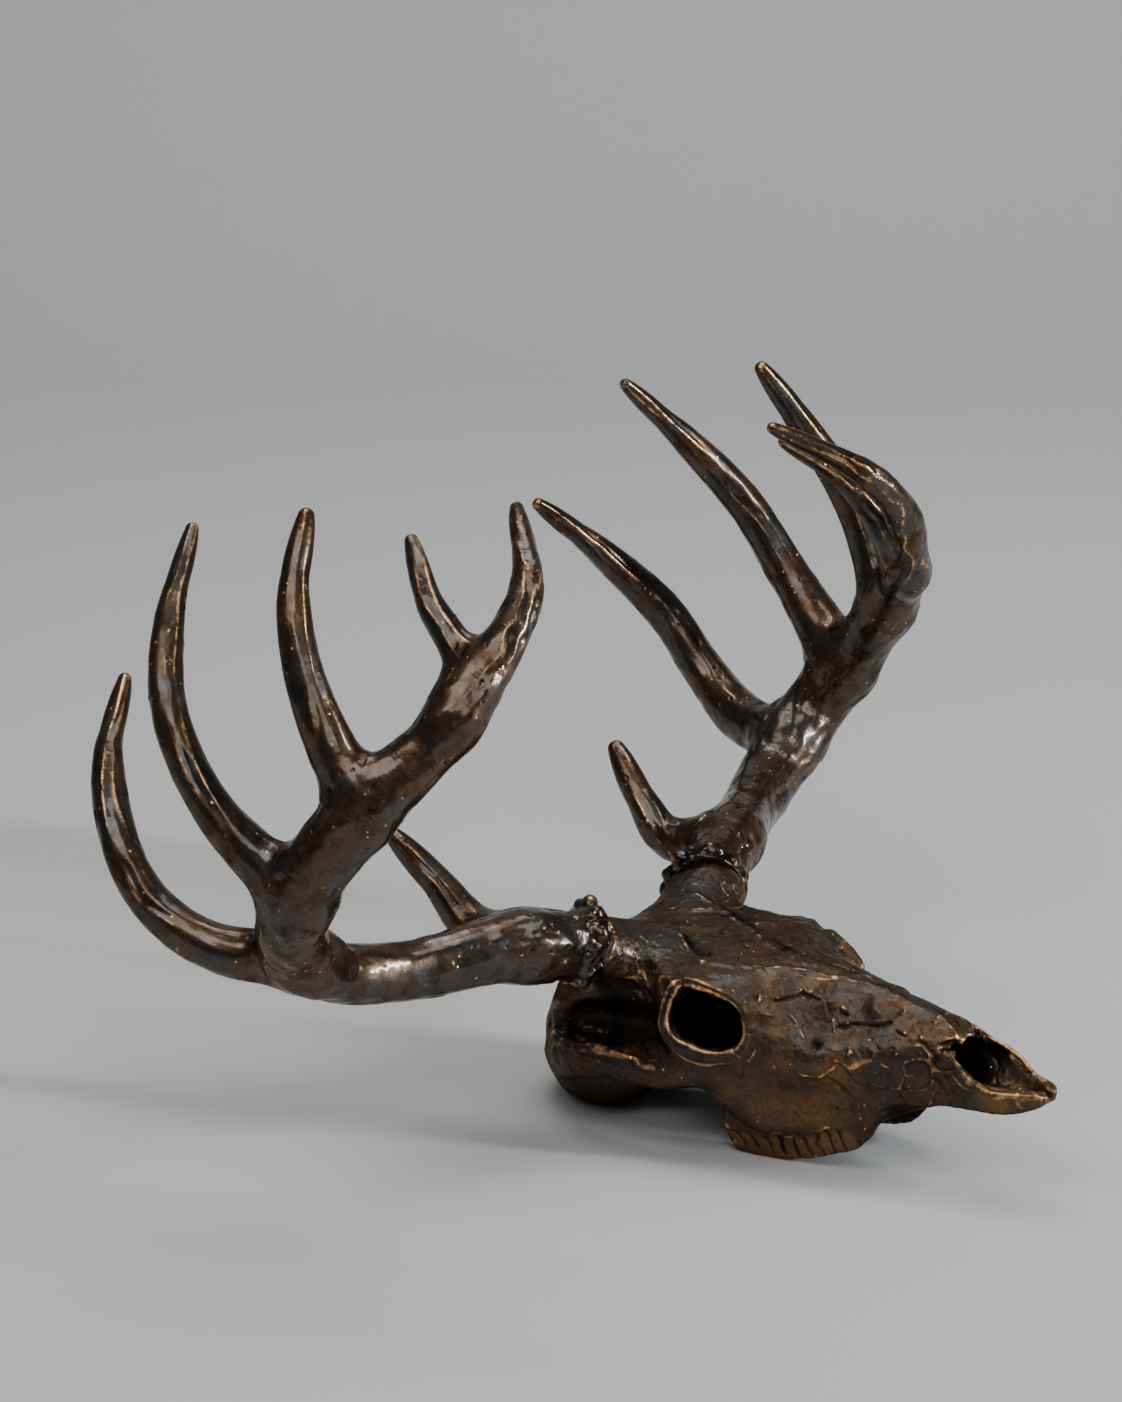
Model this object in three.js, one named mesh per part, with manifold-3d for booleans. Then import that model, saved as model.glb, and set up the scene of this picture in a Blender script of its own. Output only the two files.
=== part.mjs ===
// A life-size bronze casting of a whitetail buck's skull, without its lower jaw, with a twelve-point
// rack. It lies at rest on its two tooth rows and the two bulges under the rear of the skull.
// Millimetres. +X runs to the muzzle, +Y to the animal's left, +Z up, and the table is at z = 0.
// Every place below is given from a point on the table midway between the two burrs; the whole
// casting is then set back by CENTRE_X, so that the origin is under the middle of its box.

import * as THREE from 'three';
import { mergeVertices } from 'three/addons/utils/BufferGeometryUtils.js';
import Module from 'manifold-3d';

const wasm = await Module();
wasm.setup();

// ---- Driving dimensions ----------------------------------------------------------------------

const CENTRE_X = 12;
const GAP = 0.3;
const LEFT = 1;
const RIGHT = -1;

// The skull's sections from the nape to the muzzle. Each gives the midline's height (top), the edge
// of the roof (brow), the side wall (flank), the widest place (cheek), the lower edge (gum) and the
// midline's underside (palate); the four between are [half-width, height].
const SKULL_SECTIONS = [
  { x: -50, top: 56, brow: [13, 54], flank: [22, 45], cheek: [26, 34], gum: [20, 18], palate: 16 },
  { x: -36, top: 76, brow: [18, 73], flank: [32, 60], cheek: [38, 42], gum: [32, 20], palate: 14 },
  { x: -18, top: 90, brow: [21, 87], flank: [33, 74], cheek: [36, 56], gum: [30, 32], palate: 16 },
  { x: 4, top: 96, brow: [27, 94], flank: [36, 82], cheek: [34, 62], gum: [28, 36], palate: 20 },
  { x: 26, top: 98, brow: [38, 95], flank: [43, 86], cheek: [36, 64], gum: [30, 42], palate: 26 },
  { x: 42, top: 98, brow: [49, 91], flank: [55, 81], cheek: [55, 60], gum: [46, 44], palate: 28 },
  { x: 58, top: 98, brow: [50, 92], flank: [55, 76], cheek: [58, 56], gum: [50, 38], palate: 27 },
  { x: 74, top: 97, brow: [43, 90], flank: [49, 75], cheek: [54, 52], gum: [42, 22], palate: 25 },
  { x: 92, top: 95, brow: [24, 90], flank: [41, 75], cheek: [47, 54], gum: [38, 15], palate: 25 },
  { x: 116, top: 92, brow: [13, 88], flank: [26, 74], cheek: [39, 56], gum: [32, 20], palate: 29 },
  { x: 138, top: 88, brow: [9, 85], flank: [19, 74], cheek: [30, 58], gum: [25, 26], palate: 35 },
  { x: 156, top: 84, brow: [8, 82], flank: [16, 74], cheek: [23, 61], gum: [17, 34], palate: 39 },
  { x: 174, top: 79, brow: [10, 77], flank: [16, 71], cheek: [19, 61], gum: [15, 42], palate: 43 },
  { x: 190, top: 65, brow: [17, 66], flank: [19, 61], cheek: [18, 54], gum: [14, 43], palate: 43 },
  { x: 208, top: 57, brow: [14, 58], flank: [15, 55], cheek: [14, 50], gum: [11, 44], palate: 44 },
  { x: 225, top: 57, brow: [6, 57], flank: [8, 56], cheek: [8, 54], gum: [6, 50], palate: 50 },
];
const SECTION_POINTS = 20;
const RINGS_PER_SECTION = 2;

// Antler limbs: the path's points outward from the midline with the radius at each. The lean is how
// far the right antler stands off that path, in place and radius, at stops spread evenly along it;
// the left antler stands off the other way. A tine is rooted at a stop on the beam, with a share of
// the beam's radius there.
const BEAM = {
  path: [
    [-2.5, 50, 96.5, 17],
    [-20, 100, 106, 16.4],
    [-41, 146, 103, 14.9],
    [-54, 188, 112, 15.6],
    [-52, 220, 137, 16.6],
    [-33, 232, 172, 16.2],
    [-5, 223, 210, 14.5],
    [20, 199, 242, 11.6],
    [31, 174, 274, 10],
    [27, 143, 302, 7.6],
    [-5, 108, 327, 3],
  ],
  lean: [[2, -2, -1, 0.5], [-2, 0, 1, -1.2], [-4, 1, 3, 1.4], [-1, 1, 2, 0]],
};
const TINES = {
  brow_tine: {
    root: { at: 0.8, lean: 0 },
    path: [[-49, 85, 105, 11.2], [-70, 87, 123, 7.8], [-91, 94, 144, 3]],
    lean: [[0, 1, 1, 0], [-1, 0, 2, 0]],
  },
  second_tine: {
    root: { at: 3.5, lean: 0 },
    path: [
      [-96, 223, 127, 12.7],
      [-126, 232, 144, 10.9],
      [-151, 230, 172, 9.9],
      [-177, 209, 204, 7.9],
      [-196, 175, 235, 3],
    ],
    lean: [[0, 1, 0, -1.2], [3, 0, -6, 0]],
  },
  third_tine: {
    root: { at: 4.8, lean: 0 },
    path: [
      [-77, 243, 203, 10.9],
      [-107, 239, 243, 9.5],
      [-128, 215, 278, 7.6],
      [-144, 179, 314, 3],
    ],
    lean: [[-1, 1, 0, -0.8], [0, 0, -1, 0]],
  },
  fourth_tine: {
    root: { at: 5.95, lean: 0.05 },
    path: [[-23, 228, 242, 10.8], [-40, 225, 272, 9.1], [-55, 213, 302, 7.6], [-65, 191, 333, 3]],
    lean: [[-1, 0, 1, 0.4], [0, 0, 1, 0]],
  },
  fifth_tine: {
    root: { at: 7, lean: 0.25 },
    path: [[11, 180, 272, 7.6], [-9, 173, 293, 5.9], [-30, 154, 312, 2.6]],
    lean: [[2, -2, 4, 1], [-3, 0, 7, 0]],
  },
};
const ROOT_SHARE = 0.9;
const BEAM_CUTS = [3.7, 6.3];
// The last run of each is rounded off to a tip of this share of its radius there, over these rings.
const BLUNT = { run: 25, tip: 0.36, rings: [0, 0.5, 0.82, 1] };
const LIMB_SIDES = 8;
const RINGS_PER_SPAN = 2;

// The burr is a knobbed collar across the foot of the beam, at its own slant, and the pedicle is the
// stem under it.
const BURR = {
  at: [-3.5, 51, 95.5],
  axis: [-0.6, 0.79, 0.2],
  inner: -2,
  outer: 8.5,
  radius: 19.5,
  bevel: 2,
  edge: 4,
  bulge: 1.5,
  knobs: 8,
  knobHeight: 1.5,
  sides: 16,
};
const PEDICLE = [[15, 14, 73, 22.5], [4, 31, 84, 18.5], [-3.5, 51, 95, 15]];
const PEDICLE_FLATNESS = 1.28;
const PEDICLE_SIDES = 12;

// A row of teeth shrinks and closes in from rear to front, and lifts off the table at both ends.
const TEETH = {
  count: 6,
  rear: [69, 31.8],
  front: [141, 21],
  width: [13, 8.5],
  foot: 0.42,
  crowding: 1.35,
  sides: 8,
  rootHeight: 28,
  lift: { rear: 79, front: 108, slope: 0.5 },
};

// The eye socket's hollow and the raised rim round it, from the side of the head inward.
const SOCKET_PATH = [[70, 64, 76, 19], [67, 54, 72, 18.5], [60, 39, 68, 16], [52, 24, 63, 10]];
const SOCKET_RIM = [[62, 43, 69, 21.5], [66.5, 54, 72.5, 22]];
const SOCKET_FLATNESS = 0.77;
const SOCKET_SIDES = 14;

// The zygomatic arch, from under the socket back to the braincase.
const ARCH_PATH = [
  [62, 55, 46, 10],
  [34, 60, 37, 8.5],
  [11, 59, 36, 10],
  [-10, 53, 31, 11.5],
  [-28, 41, 26, 12],
];
const ARCH_FLATNESS = 0.5;

// The bulges under the rear that the skull rests on, the two condyles and the hole between them.
const BULGE = { at: [-18, 22.5, 21.8], radii: [28, 21.5, 22.5] };
const CONDYLE = { at: [-46, 13, 22], radii: [9, 8, 10] };
const FORAMEN = { from: -66, to: -30, height: 36, radius: 10, sides: 12 };

// The nasal opening: a boat-shaped hollow that runs back under the nasal bones.
const NASAL_HOLLOW = [
  { x: 222, halfWidth: 3.5, low: 54, high: 72 },
  { x: 217, halfWidth: 7.5, low: 52, high: 76 },
  { x: 209, halfWidth: 11.2, low: 51, high: 80 },
  { x: 199, halfWidth: 14, low: 50.5, high: 84 },
  { x: 190, halfWidth: 15.2, low: 50, high: 88 },
  { x: 182.5, halfWidth: 14.5, low: 49, high: 88 },
  { x: 181, halfWidth: 12.5, low: 49, high: 72.5 },
  { x: 164, halfWidth: 11, low: 48, high: 75 },
  { x: 140, halfWidth: 8, low: 50, high: 78 },
  { x: 128, halfWidth: 3, low: 58, high: 72 },
];
const NASAL_SIDES = 12;

// Thin cuts part the skull along its main sutures: each region is a block with its middle, size and
// pitch, and those given for one side are mirrored to the other.
const REGIONS = [
  { name: 'tooth_row', paired: true, at: [104, 37, -0.5], size: [90, 54, 40], pitch: -9.5 },
  { name: 'nasal_bones', at: [143, 0, 104], size: [80, 34, 52], pitch: 13 },
  { name: 'premaxilla', paired: true, at: [205, 25.15, 60], size: [70, 50, 80], pitch: 0 },
  { name: 'maxilla', paired: true, at: [131, 40.15, 50], size: [78, 80, 120], pitch: 0 },
  { name: 'pedicle', paired: true, at: [-7, 55, 98], size: [66, 42, 40], pitch: 0 },
  { name: 'orbit', paired: true, at: [62.25, 61, 66], size: [58.5, 54, 76], pitch: 0 },
  { name: 'zygomatic_arch', paired: true, at: [-3.3, 71.5, 40], size: [71.4, 52, 44], pitch: 0 },
  { name: 'frontal', at: [32, 0, 100], size: [120, 100, 40], pitch: 0 },
  { name: 'occiput', at: [-68, 0, 60], size: [60, 120, 120], pitch: 0 },
  { name: 'temporal_bulge', paired: true, at: [0, 40.15, 10], size: [130, 62, 50], pitch: 0 },
];
const LAST_REGION = 'braincase';
const REST_BOX = { low: [-80, -90, 0], high: [240, 90, 130] };
const CUTTING_REACH = 50;

// ---- Geometry helpers -------------------------------------------------------------------------

const X_AXIS = new THREE.Vector3(1, 0, 0);
const Y_AXIS = new THREE.Vector3(0, 1, 0);
const Z_AXIS = new THREE.Vector3(0, 0, 1);

// Closed skin over rings of equal length, each ring turning right-handed about the way they run.
function skin(rings) {
  const sides = rings[0].length;
  const places = rings.flat().flatMap((point) => [point.x, point.y, point.z]);
  const faces = [];
  for (let ring = 0; ring < rings.length - 1; ring += 1) {
    for (let side = 0; side < sides; side += 1) {
      const a = ring * sides + side;
      const b = ring * sides + ((side + 1) % sides);
      faces.push(a, b, a + sides, b, b + sides, a + sides);
    }
  }
  const addCap = (ring, outward) => {
    const centre = new THREE.Vector3();
    rings[ring].forEach((point) => centre.addScaledVector(point, 1 / sides));
    const hub = places.length / 3;
    places.push(centre.x, centre.y, centre.z);
    for (let side = 0; side < sides; side += 1) {
      const a = ring * sides + side;
      const b = ring * sides + ((side + 1) % sides);
      faces.push(...(outward ? [a, b, hub] : [b, a, hub]));
    }
  };
  addCap(0, false);
  addCap(rings.length - 1, true);
  const geometry = new THREE.BufferGeometry();
  geometry.setAttribute('position', new THREE.Float32BufferAttribute(places, 3));
  geometry.setIndex(faces);
  return geometry;
}

function solid(geometry) {
  const bare = geometry.clone();
  bare.deleteAttribute('normal');
  bare.deleteAttribute('uv');
  const merged = mergeVertices(bare, 1e-4);
  return new wasm.Manifold(new wasm.Mesh({
    numProp: 3,
    vertProperties: new Float32Array(merged.attributes.position.array),
    triVerts: new Uint32Array(merged.index.array),
  }));
}

function geometryOf(manifold) {
  const mesh = manifold.getMesh();
  const geometry = new THREE.BufferGeometry();
  geometry.setAttribute('position', new THREE.Float32BufferAttribute(mesh.vertProperties, 3));
  geometry.setIndex(Array.from(mesh.triVerts));
  return geometry;
}

function box(low, high) {
  const size = high.map((value, axis) => value - low[axis]);
  const middle = high.map((value, axis) => (value + low[axis]) / 2);
  return solid(new THREE.BoxGeometry(...size).translate(...middle));
}

function ellipsoid(centre, radii, columns, rows) {
  const ball = new THREE.SphereGeometry(1, columns, rows);
  return solid(ball.scale(...radii).translate(...centre));
}

// A limb is a smooth curve with a radius that follows it; t counts its path's points from zero. Its
// blunt end, if it has one, starts at the share bluntFrom of the curve.
function makeLimb(path, side = LEFT, reference = X_AXIS, flatness = 1) {
  const points = path.map(([x, y, z]) => new THREE.Vector3(x, y * side, z));
  const radii = path.map(([, , , radius]) => new THREE.Vector3(radius, 0, 0));
  const spans = path.length - 1;
  const route = new THREE.CatmullRomCurve3(points, false, 'catmullrom', 0.5);
  const girth = new THREE.CatmullRomCurve3(radii, false, 'catmullrom', 0.5);
  return { spans, route, girth, reference, flatness, bluntFrom: 1 };
}

function makeAntlerLimb(path, side, reference) {
  const limb = makeLimb(path, side, reference);
  limb.bluntFrom = limb.route.getUtoTmapping(1 - BLUNT.run / limb.route.getLength());
  return limb;
}

function limbRadius({ girth, bluntFrom }, u) {
  if (u <= bluntFrom) return girth.getPoint(u).x;
  const share = (u - bluntFrom) / (1 - bluntFrom);
  return girth.getPoint(bluntFrom).x * Math.sqrt(1 - (1 - BLUNT.tip ** 2) * share ** 2);
}

function limbFrame(limb, t) {
  const u = THREE.MathUtils.clamp(t / limb.spans, 0, 1);
  const centre = limb.route.getPoint(u);
  const along = limb.route.getTangent(u);
  const across = limb.reference.clone().addScaledVector(along, -limb.reference.dot(along));
  across.normalize();
  const third = along.clone().cross(across);
  return { centre, along, across, third, radius: limbRadius(limb, u) };
}

function limbRing(frame, radius, sides, flatness = 1, shift = 0, knob = () => 0) {
  const ring = [];
  for (let side = 0; side < sides; side += 1) {
    const angle = (side / sides) * 2 * Math.PI;
    const reach = radius + knob(angle);
    ring.push(frame.centre.clone()
      .addScaledVector(frame.along, shift)
      .addScaledVector(frame.across, reach * Math.cos(angle))
      .addScaledVector(frame.third, reach * flatness * Math.sin(angle)));
  }
  return ring;
}

function limbStops(limb, extra = []) {
  const count = limb.spans * RINGS_PER_SPAN;
  const even = Array.from({ length: count + 1 }, (unused, step) => step / RINGS_PER_SPAN);
  if (limb.bluntFrom === 1) return even;
  const start = limb.bluntFrom * limb.spans;
  const end = BLUNT.rings.map((share) => THREE.MathUtils.lerp(start, limb.spans, share));
  return [...even.filter((t) => t < start - 0.15), ...end, ...extra].sort((a, b) => a - b);
}

function limbSolid(limb, { stops = limbStops(limb), grow = 0, sides = LIMB_SIDES } = {}) {
  return solid(skin(stops.map((t) => {
    const frame = limbFrame(limb, t);
    return limbRing(frame, frame.radius + grow, sides, limb.flatness);
  })));
}

// The branch's path as it runs on one side, with its lean laid on.
function leanedPath({ path, lean }, side) {
  return path.map((point, index) => {
    const place = (index / (path.length - 1)) * (lean.length - 1);
    const stop = Math.min(Math.floor(place), lean.length - 2);
    return point.map((value, axis) => (
      value - side * THREE.MathUtils.lerp(lean[stop][axis], lean[stop + 1][axis], place - stop)));
  });
}

// ---- Skull ------------------------------------------------------------------------------------

function sectionRail(pick) {
  const points = SKULL_SECTIONS.map((section) => new THREE.Vector3(section.x, ...pick(section)));
  return new THREE.CatmullRomCurve3(points, false, 'catmullrom', 0.5);
}

function skullCore() {
  const rails = [
    sectionRail(({ cheek }) => cheek),
    sectionRail(({ flank }) => flank),
    sectionRail(({ brow }) => brow),
    sectionRail(({ top }) => [0, top]),
    sectionRail(({ brow }) => [-brow[0], brow[1]]),
    sectionRail(({ flank }) => [-flank[0], flank[1]]),
    sectionRail(({ cheek }) => [-cheek[0], cheek[1]]),
    sectionRail(({ gum }) => [-gum[0], gum[1]]),
    sectionRail(({ palate }) => [0, palate]),
    sectionRail(({ gum }) => gum),
  ];
  const count = (SKULL_SECTIONS.length - 1) * RINGS_PER_SECTION;
  const rings = [];
  for (let step = 0; step <= count; step += 1) {
    const keys = rails.map((rail) => rail.getPoint(step / count));
    const outline = new THREE.CatmullRomCurve3(keys, true, 'catmullrom', 0.5);
    rings.push(outline.getPoints(SECTION_POINTS).slice(0, -1));
  }
  return solid(skin(rings));
}

function toothRow(side) {
  const { count, rear, front, width, foot, crowding, sides, rootHeight, lift } = TEETH;
  const length = (front[0] - rear[0]) / count;
  const teeth = [];
  for (let tooth = 0; tooth < count; tooth += 1) {
    const share = (tooth + 0.5) / count;
    const x = THREE.MathUtils.lerp(rear[0], front[0], share);
    const y = THREE.MathUtils.lerp(rear[1], front[1], share) * side;
    const low = Math.max(0, x - lift.front, lift.rear - x) * lift.slope;
    const crown = new THREE.CylinderGeometry(0.5, foot, rootHeight - low, sides);
    crown.rotateX(Math.PI / 2);
    crown.scale(length * crowding, THREE.MathUtils.lerp(...width, share), 1);
    crown.translate(x, y, (rootHeight + low) / 2);
    teeth.push(solid(crown));
  }
  return teeth.reduce((row, crown) => row.add(crown));
}

function mirrored([x, y, z], side) {
  return [x, y * side, z];
}

function nasalHollow() {
  const rings = NASAL_HOLLOW.slice().reverse().map(({ x, halfWidth, low, high }) => {
    const ring = [];
    for (let side = 0; side < NASAL_SIDES; side += 1) {
      const angle = (side / NASAL_SIDES) * 2 * Math.PI;
      const y = halfWidth * Math.cos(angle);
      const z = (high + low) / 2 + ((high - low) / 2) * Math.sin(angle);
      ring.push(new THREE.Vector3(x, y, z));
    }
    return ring;
  });
  return solid(skin(rings));
}

function foramen() {
  const { from, to, height, radius, sides } = FORAMEN;
  const bore = new THREE.CylinderGeometry(radius, radius, to - from, sides);
  bore.rotateZ(Math.PI / 2);
  return solid(bore.translate((from + to) / 2, 0, height));
}

function wholeSkull() {
  let bone = skullCore();
  const hollows = [nasalHollow(), foramen()];
  for (const side of [LEFT, RIGHT]) {
    bone = bone.add(toothRow(side));
    bone = bone.add(ellipsoid(mirrored(BULGE.at, side), BULGE.radii, 16, 8));
    bone = bone.add(ellipsoid(mirrored(CONDYLE.at, side), CONDYLE.radii, 10, 6));
    bone = bone.add(limbSolid(makeLimb(ARCH_PATH, side, Z_AXIS, ARCH_FLATNESS)));
    const rim = makeLimb(SOCKET_RIM, side, X_AXIS, SOCKET_FLATNESS);
    bone = bone.add(limbSolid(rim, { sides: SOCKET_SIDES }));
    bone = bone.add(pedicle(side));
    const socket = makeLimb(SOCKET_PATH, side, X_AXIS, SOCKET_FLATNESS);
    hollows.push(limbSolid(socket, { sides: SOCKET_SIDES }));
  }
  const aboveTable = box(REST_BOX.low, REST_BOX.high);
  return hollows.reduce((left, hollow) => left.subtract(hollow), bone).intersect(aboveTable);
}

function block({ at, size, pitch }, side, grow) {
  const geometry = new THREE.BoxGeometry(...size.map((length) => length + 2 * grow));
  geometry.rotateY(THREE.MathUtils.degToRad(pitch));
  return solid(geometry.translate(...mirrored(at, side)));
}

// ---- Antlers ----------------------------------------------------------------------------------

function makeBeam(side) {
  return makeAntlerLimb(leanedPath(BEAM, side), side, X_AXIS);
}

function burrFrame(side) {
  const centre = new THREE.Vector3(...mirrored(BURR.at, side));
  const along = new THREE.Vector3(...mirrored(BURR.axis, side)).normalize();
  const across = Z_AXIS.clone().addScaledVector(along, -Z_AXIS.dot(along)).normalize();
  return { centre, along, across, third: along.clone().cross(across) };
}

function burr(side) {
  const frame = burrFrame(side);
  const { inner, outer, radius, bevel, edge, bulge, knobs, knobHeight, sides } = BURR;
  const knob = (angle) => knobHeight * Math.cos(knobs * angle);
  return solid(skin([
    limbRing(frame, radius - edge, sides, 1, inner),
    limbRing(frame, radius, sides, 1, inner + bevel, knob),
    limbRing(frame, radius + bulge, sides, 1, (inner + outer) / 2, knob),
    limbRing(frame, radius, sides, 1, outer - bevel, knob),
    limbRing(frame, radius - edge, sides, 1, outer),
  ]));
}

// A square block across the foot of the antler, between two places along the burr's axis.
function footBlock(side, from, to) {
  const frame = burrFrame(side);
  return solid(skin([from, to].map((shift) => limbRing(frame, CUTTING_REACH, 4, 1, shift))));
}

function pedicle(side) {
  const above = footBlock(side, BURR.inner - GAP, BURR.outer + 20);
  const stem = makeLimb(PEDICLE, side, Z_AXIS, PEDICLE_FLATNESS);
  return limbSolid(stem, { sides: PEDICLE_SIDES }).subtract(above);
}

// The tine's path from its root in the middle of the beam.
function tinePath({ root, path, lean }, beam, side) {
  const { centre, radius } = limbFrame(beam, root.at - side * root.lean);
  const base = [centre.x, centre.y * side, centre.z, radius * ROOT_SHARE];
  return [base, ...leanedPath({ path, lean }, side)];
}

// ---- The casting ------------------------------------------------------------------------------

const BRONZE = { color: 0x3a2a1c, roughness: 0.38, metalness: 0.9 };
const SIDES = [['left', LEFT], ['right', RIGHT]];

const group = new THREE.Group();
group.position.set(-CENTRE_X, 0, 0);

function addNode(name, manifold) {
  const mesh = new THREE.Mesh(geometryOf(manifold), new THREE.MeshStandardMaterial(BRONZE));
  mesh.name = name;
  group.add(mesh);
}

function addSkull() {
  let skull = wholeSkull();
  for (const region of REGIONS) {
    for (const [word, side] of region.paired ? SIDES : [['', LEFT]]) {
      const name = word ? `${region.name}_${word}` : region.name;
      addNode(name, skull.intersect(block(region, side, 0)));
      skull = skull.subtract(block(region, side, GAP));
    }
  }
  addNode(LAST_REGION, skull);
}

function addAntler(word, side) {
  const beam = makeBeam(side);
  const halfGap = (GAP / 2 / beam.route.getLength()) * beam.spans;
  const edges = BEAM_CUTS.flatMap((cut) => [cut - halfGap, cut + halfGap]);
  const stops = limbStops(beam, edges);
  const ends = [0, ...edges, beam.spans];
  const foot = footBlock(side, -CUTTING_REACH, BURR.outer + GAP);
  addNode(`burr_${word}`, burr(side));
  ['lower', 'middle', 'upper'].forEach((part, index) => {
    const [from, to] = ends.slice(2 * index);
    const piece = limbSolid(beam, { stops: stops.filter((t) => t >= from && t <= to) });
    addNode(`beam_${part}_${word}`, piece.subtract(foot));
  });
  const grownBeam = limbSolid(beam, { stops, grow: GAP });
  for (const [name, branch] of Object.entries(TINES)) {
    const tine = makeAntlerLimb(tinePath(branch, beam, side), side, Y_AXIS);
    addNode(`${name}_${word}`, limbSolid(tine).subtract(grownBeam));
  }
}

addSkull();
SIDES.forEach(([word, side]) => addAntler(word, side));

export default group;
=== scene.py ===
"""A life-size bronze casting of a whitetail buck's skull, on a seamless grey backdrop.

The skull and the two antlers are sculpted as fields of distance in millimetres, meshed, given their
fine relief point by point, and coloured by a dark patina that is worn to gold on what stands out.
Design places are in millimetres from a point on the table midway between the burrs: +X to the
muzzle, +Y to the animal's left, +Z up.
"""
import math

import bpy
import numpy as np
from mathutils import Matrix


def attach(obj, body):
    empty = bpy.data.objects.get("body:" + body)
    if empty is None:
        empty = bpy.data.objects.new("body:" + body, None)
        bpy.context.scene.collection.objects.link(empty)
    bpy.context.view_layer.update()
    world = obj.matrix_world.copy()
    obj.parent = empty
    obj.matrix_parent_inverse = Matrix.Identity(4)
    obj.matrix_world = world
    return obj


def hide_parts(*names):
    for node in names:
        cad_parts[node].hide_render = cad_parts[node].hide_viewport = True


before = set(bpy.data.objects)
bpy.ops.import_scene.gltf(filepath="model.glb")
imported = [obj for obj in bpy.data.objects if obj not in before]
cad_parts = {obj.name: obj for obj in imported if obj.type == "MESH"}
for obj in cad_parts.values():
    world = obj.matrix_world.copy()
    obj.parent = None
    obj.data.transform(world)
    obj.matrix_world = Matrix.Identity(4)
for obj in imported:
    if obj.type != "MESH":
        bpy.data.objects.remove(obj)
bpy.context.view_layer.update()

import openvdb
from mathutils import Matrix, Vector

MM = 0.001
# How far ahead of the burrs the solids' frame has its middle.
CENTRE_X = 12.0
LEFT, RIGHT = 1, -1
# Distances are held only up to this one.
FAR = 60.0
SKULL_STEP = 0.8
ANTLER_STEP = 0.85

# ---- Driving dimensions ----------------------------------

# The skull's sections from nape to muzzle: x, top, then [half-width, height] of brow, flank, cheek
# and gum, then the midline's underside.
SECTIONS = [
    (-50, 56, (13, 54), (22, 45), (26, 34), (20, 18), 16),
    (-36, 76, (18, 73), (32, 60), (38, 42), (32, 20), 14),
    (-18, 90, (21, 87), (33, 74), (36, 56), (30, 32), 16),
    (4, 96, (27, 94), (36, 82), (34, 62), (28, 36), 20),
    (26, 98, (38, 95), (43, 86), (36, 64), (30, 42), 26),
    (42, 98, (49, 91), (55, 81), (55, 60), (46, 44), 28),
    (58, 98, (50, 92), (55, 76), (58, 56), (50, 38), 27),
    (74, 97, (43, 90), (49, 75), (54, 52), (42, 22), 25),
    (92, 95, (24, 90), (41, 75), (47, 54), (38, 15), 25),
    (116, 92, (13, 88), (26, 74), (39, 56), (32, 20), 29),
    (138, 88, (9, 85), (19, 74), (30, 58), (25, 26), 38),
    (156, 84, (8, 82), (16, 74), (23, 61), (17, 34), 42),
    (174, 79, (10, 77), (16, 71), (19, 61), (15, 42), 43),
    (190, 65, (17, 66), (19, 61), (18, 54), (14, 43), 43),
    (208, 57, (14, 58), (15, 55), (14, 50), (11, 44), 44),
    (226.5, 57, (6, 57), (8, 56), (8, 54), (6, 50), 50),
]
CORE_RUN = (-52.0, 229.0)
CORE_ROUNDING = 5.0
BALL_MARGIN = 12.0

# Limbs: points of (x, y outward, z, radius). The lean is how far the right antler stands off the
# path, at stops spread evenly along it; the left one stands off the other way.
BEAM = {
    "path": [
        (-2.5, 50, 96.5, 17), (-20, 100, 106, 16.4), (-41, 146, 103, 14.9), (-54, 188, 112, 15.6),
        (-52, 220, 137, 16.6), (-33, 232, 172, 16.2), (-5, 223, 210, 14.5), (20, 199, 242, 11.6),
        (31, 174, 274, 10), (27, 143, 302, 7.6), (-5, 108, 327, 2.6),
    ],
    "lean": [(2, -2, -1, 0.5), (-2, 0, 1, -1.2), (-4, 1, 3, 1.4), (-1, 1, 2, 0)],
}
TINES = {
    "brow": {
        "root": (0.8, 0.0),
        "path": [(-49, 85, 105, 11.2), (-70, 87, 123, 7.8), (-91, 94, 144, 2.6)],
        "lean": [(0, 1, 1, 0), (-1, 0, 2, 0)],
    },
    "second": {
        "root": (3.5, 0.0),
        "path": [
            (-96, 223, 127, 12.7), (-126, 232, 144, 10.9), (-151, 230, 172, 9.9),
            (-177, 209, 204, 7.9), (-196, 175, 235, 2.6),
        ],
        "lean": [(0, 1, 0, -1.2), (3, 0, -6, 0)],
    },
    "third": {
        "root": (4.8, 0.0),
        "path": [
            (-77, 243, 203, 10.9), (-107, 239, 243, 9.5), (-128, 215, 278, 7.6), (-144, 179, 314, 2.6),
        ],
        "lean": [(-1, 1, 0, -0.8), (0, 0, -1, 0)],
    },
    "fourth": {
        "root": (5.95, 0.05),
        "path": [
            (-23, 228, 242, 10.8), (-40, 225, 272, 9.1), (-55, 213, 302, 7.6), (-65, 191, 333, 2.6),
        ],
        "lean": [(-1, 0, 1, 0.4), (0, 0, 1, 0)],
    },
    "fifth": {
        "root": (7.0, 0.25),
        "path": [(11, 180, 272, 7.6), (-9, 173, 293, 5.9), (-30, 154, 312, 2.3)],
        "lean": [(2, -2, 4, 1), (-3, 0, 7, 0)],
    },
}
# A tine starts inside the beam with this share of its radius.
ROOT_SHARE = 0.92
# Each limb's last run is rounded off to a tip of this share of its radius there.
BLUNT = {"run": 30.0, "tip": 0.6}
CROTCH_WEB = 12.0

BURR = {"at": (-3.5, 51, 95.5), "axis": (-0.6, 0.79, 0.2), "from": -2.0, "to": 10.0, "radius": 20.5}
PEDICLE = [(15, 14, 73, 22.5), (4, 31, 84, 18.5), (-3.5, 51, 95, 15)]
PEDICLE_FLATNESS = 1.28

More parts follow.
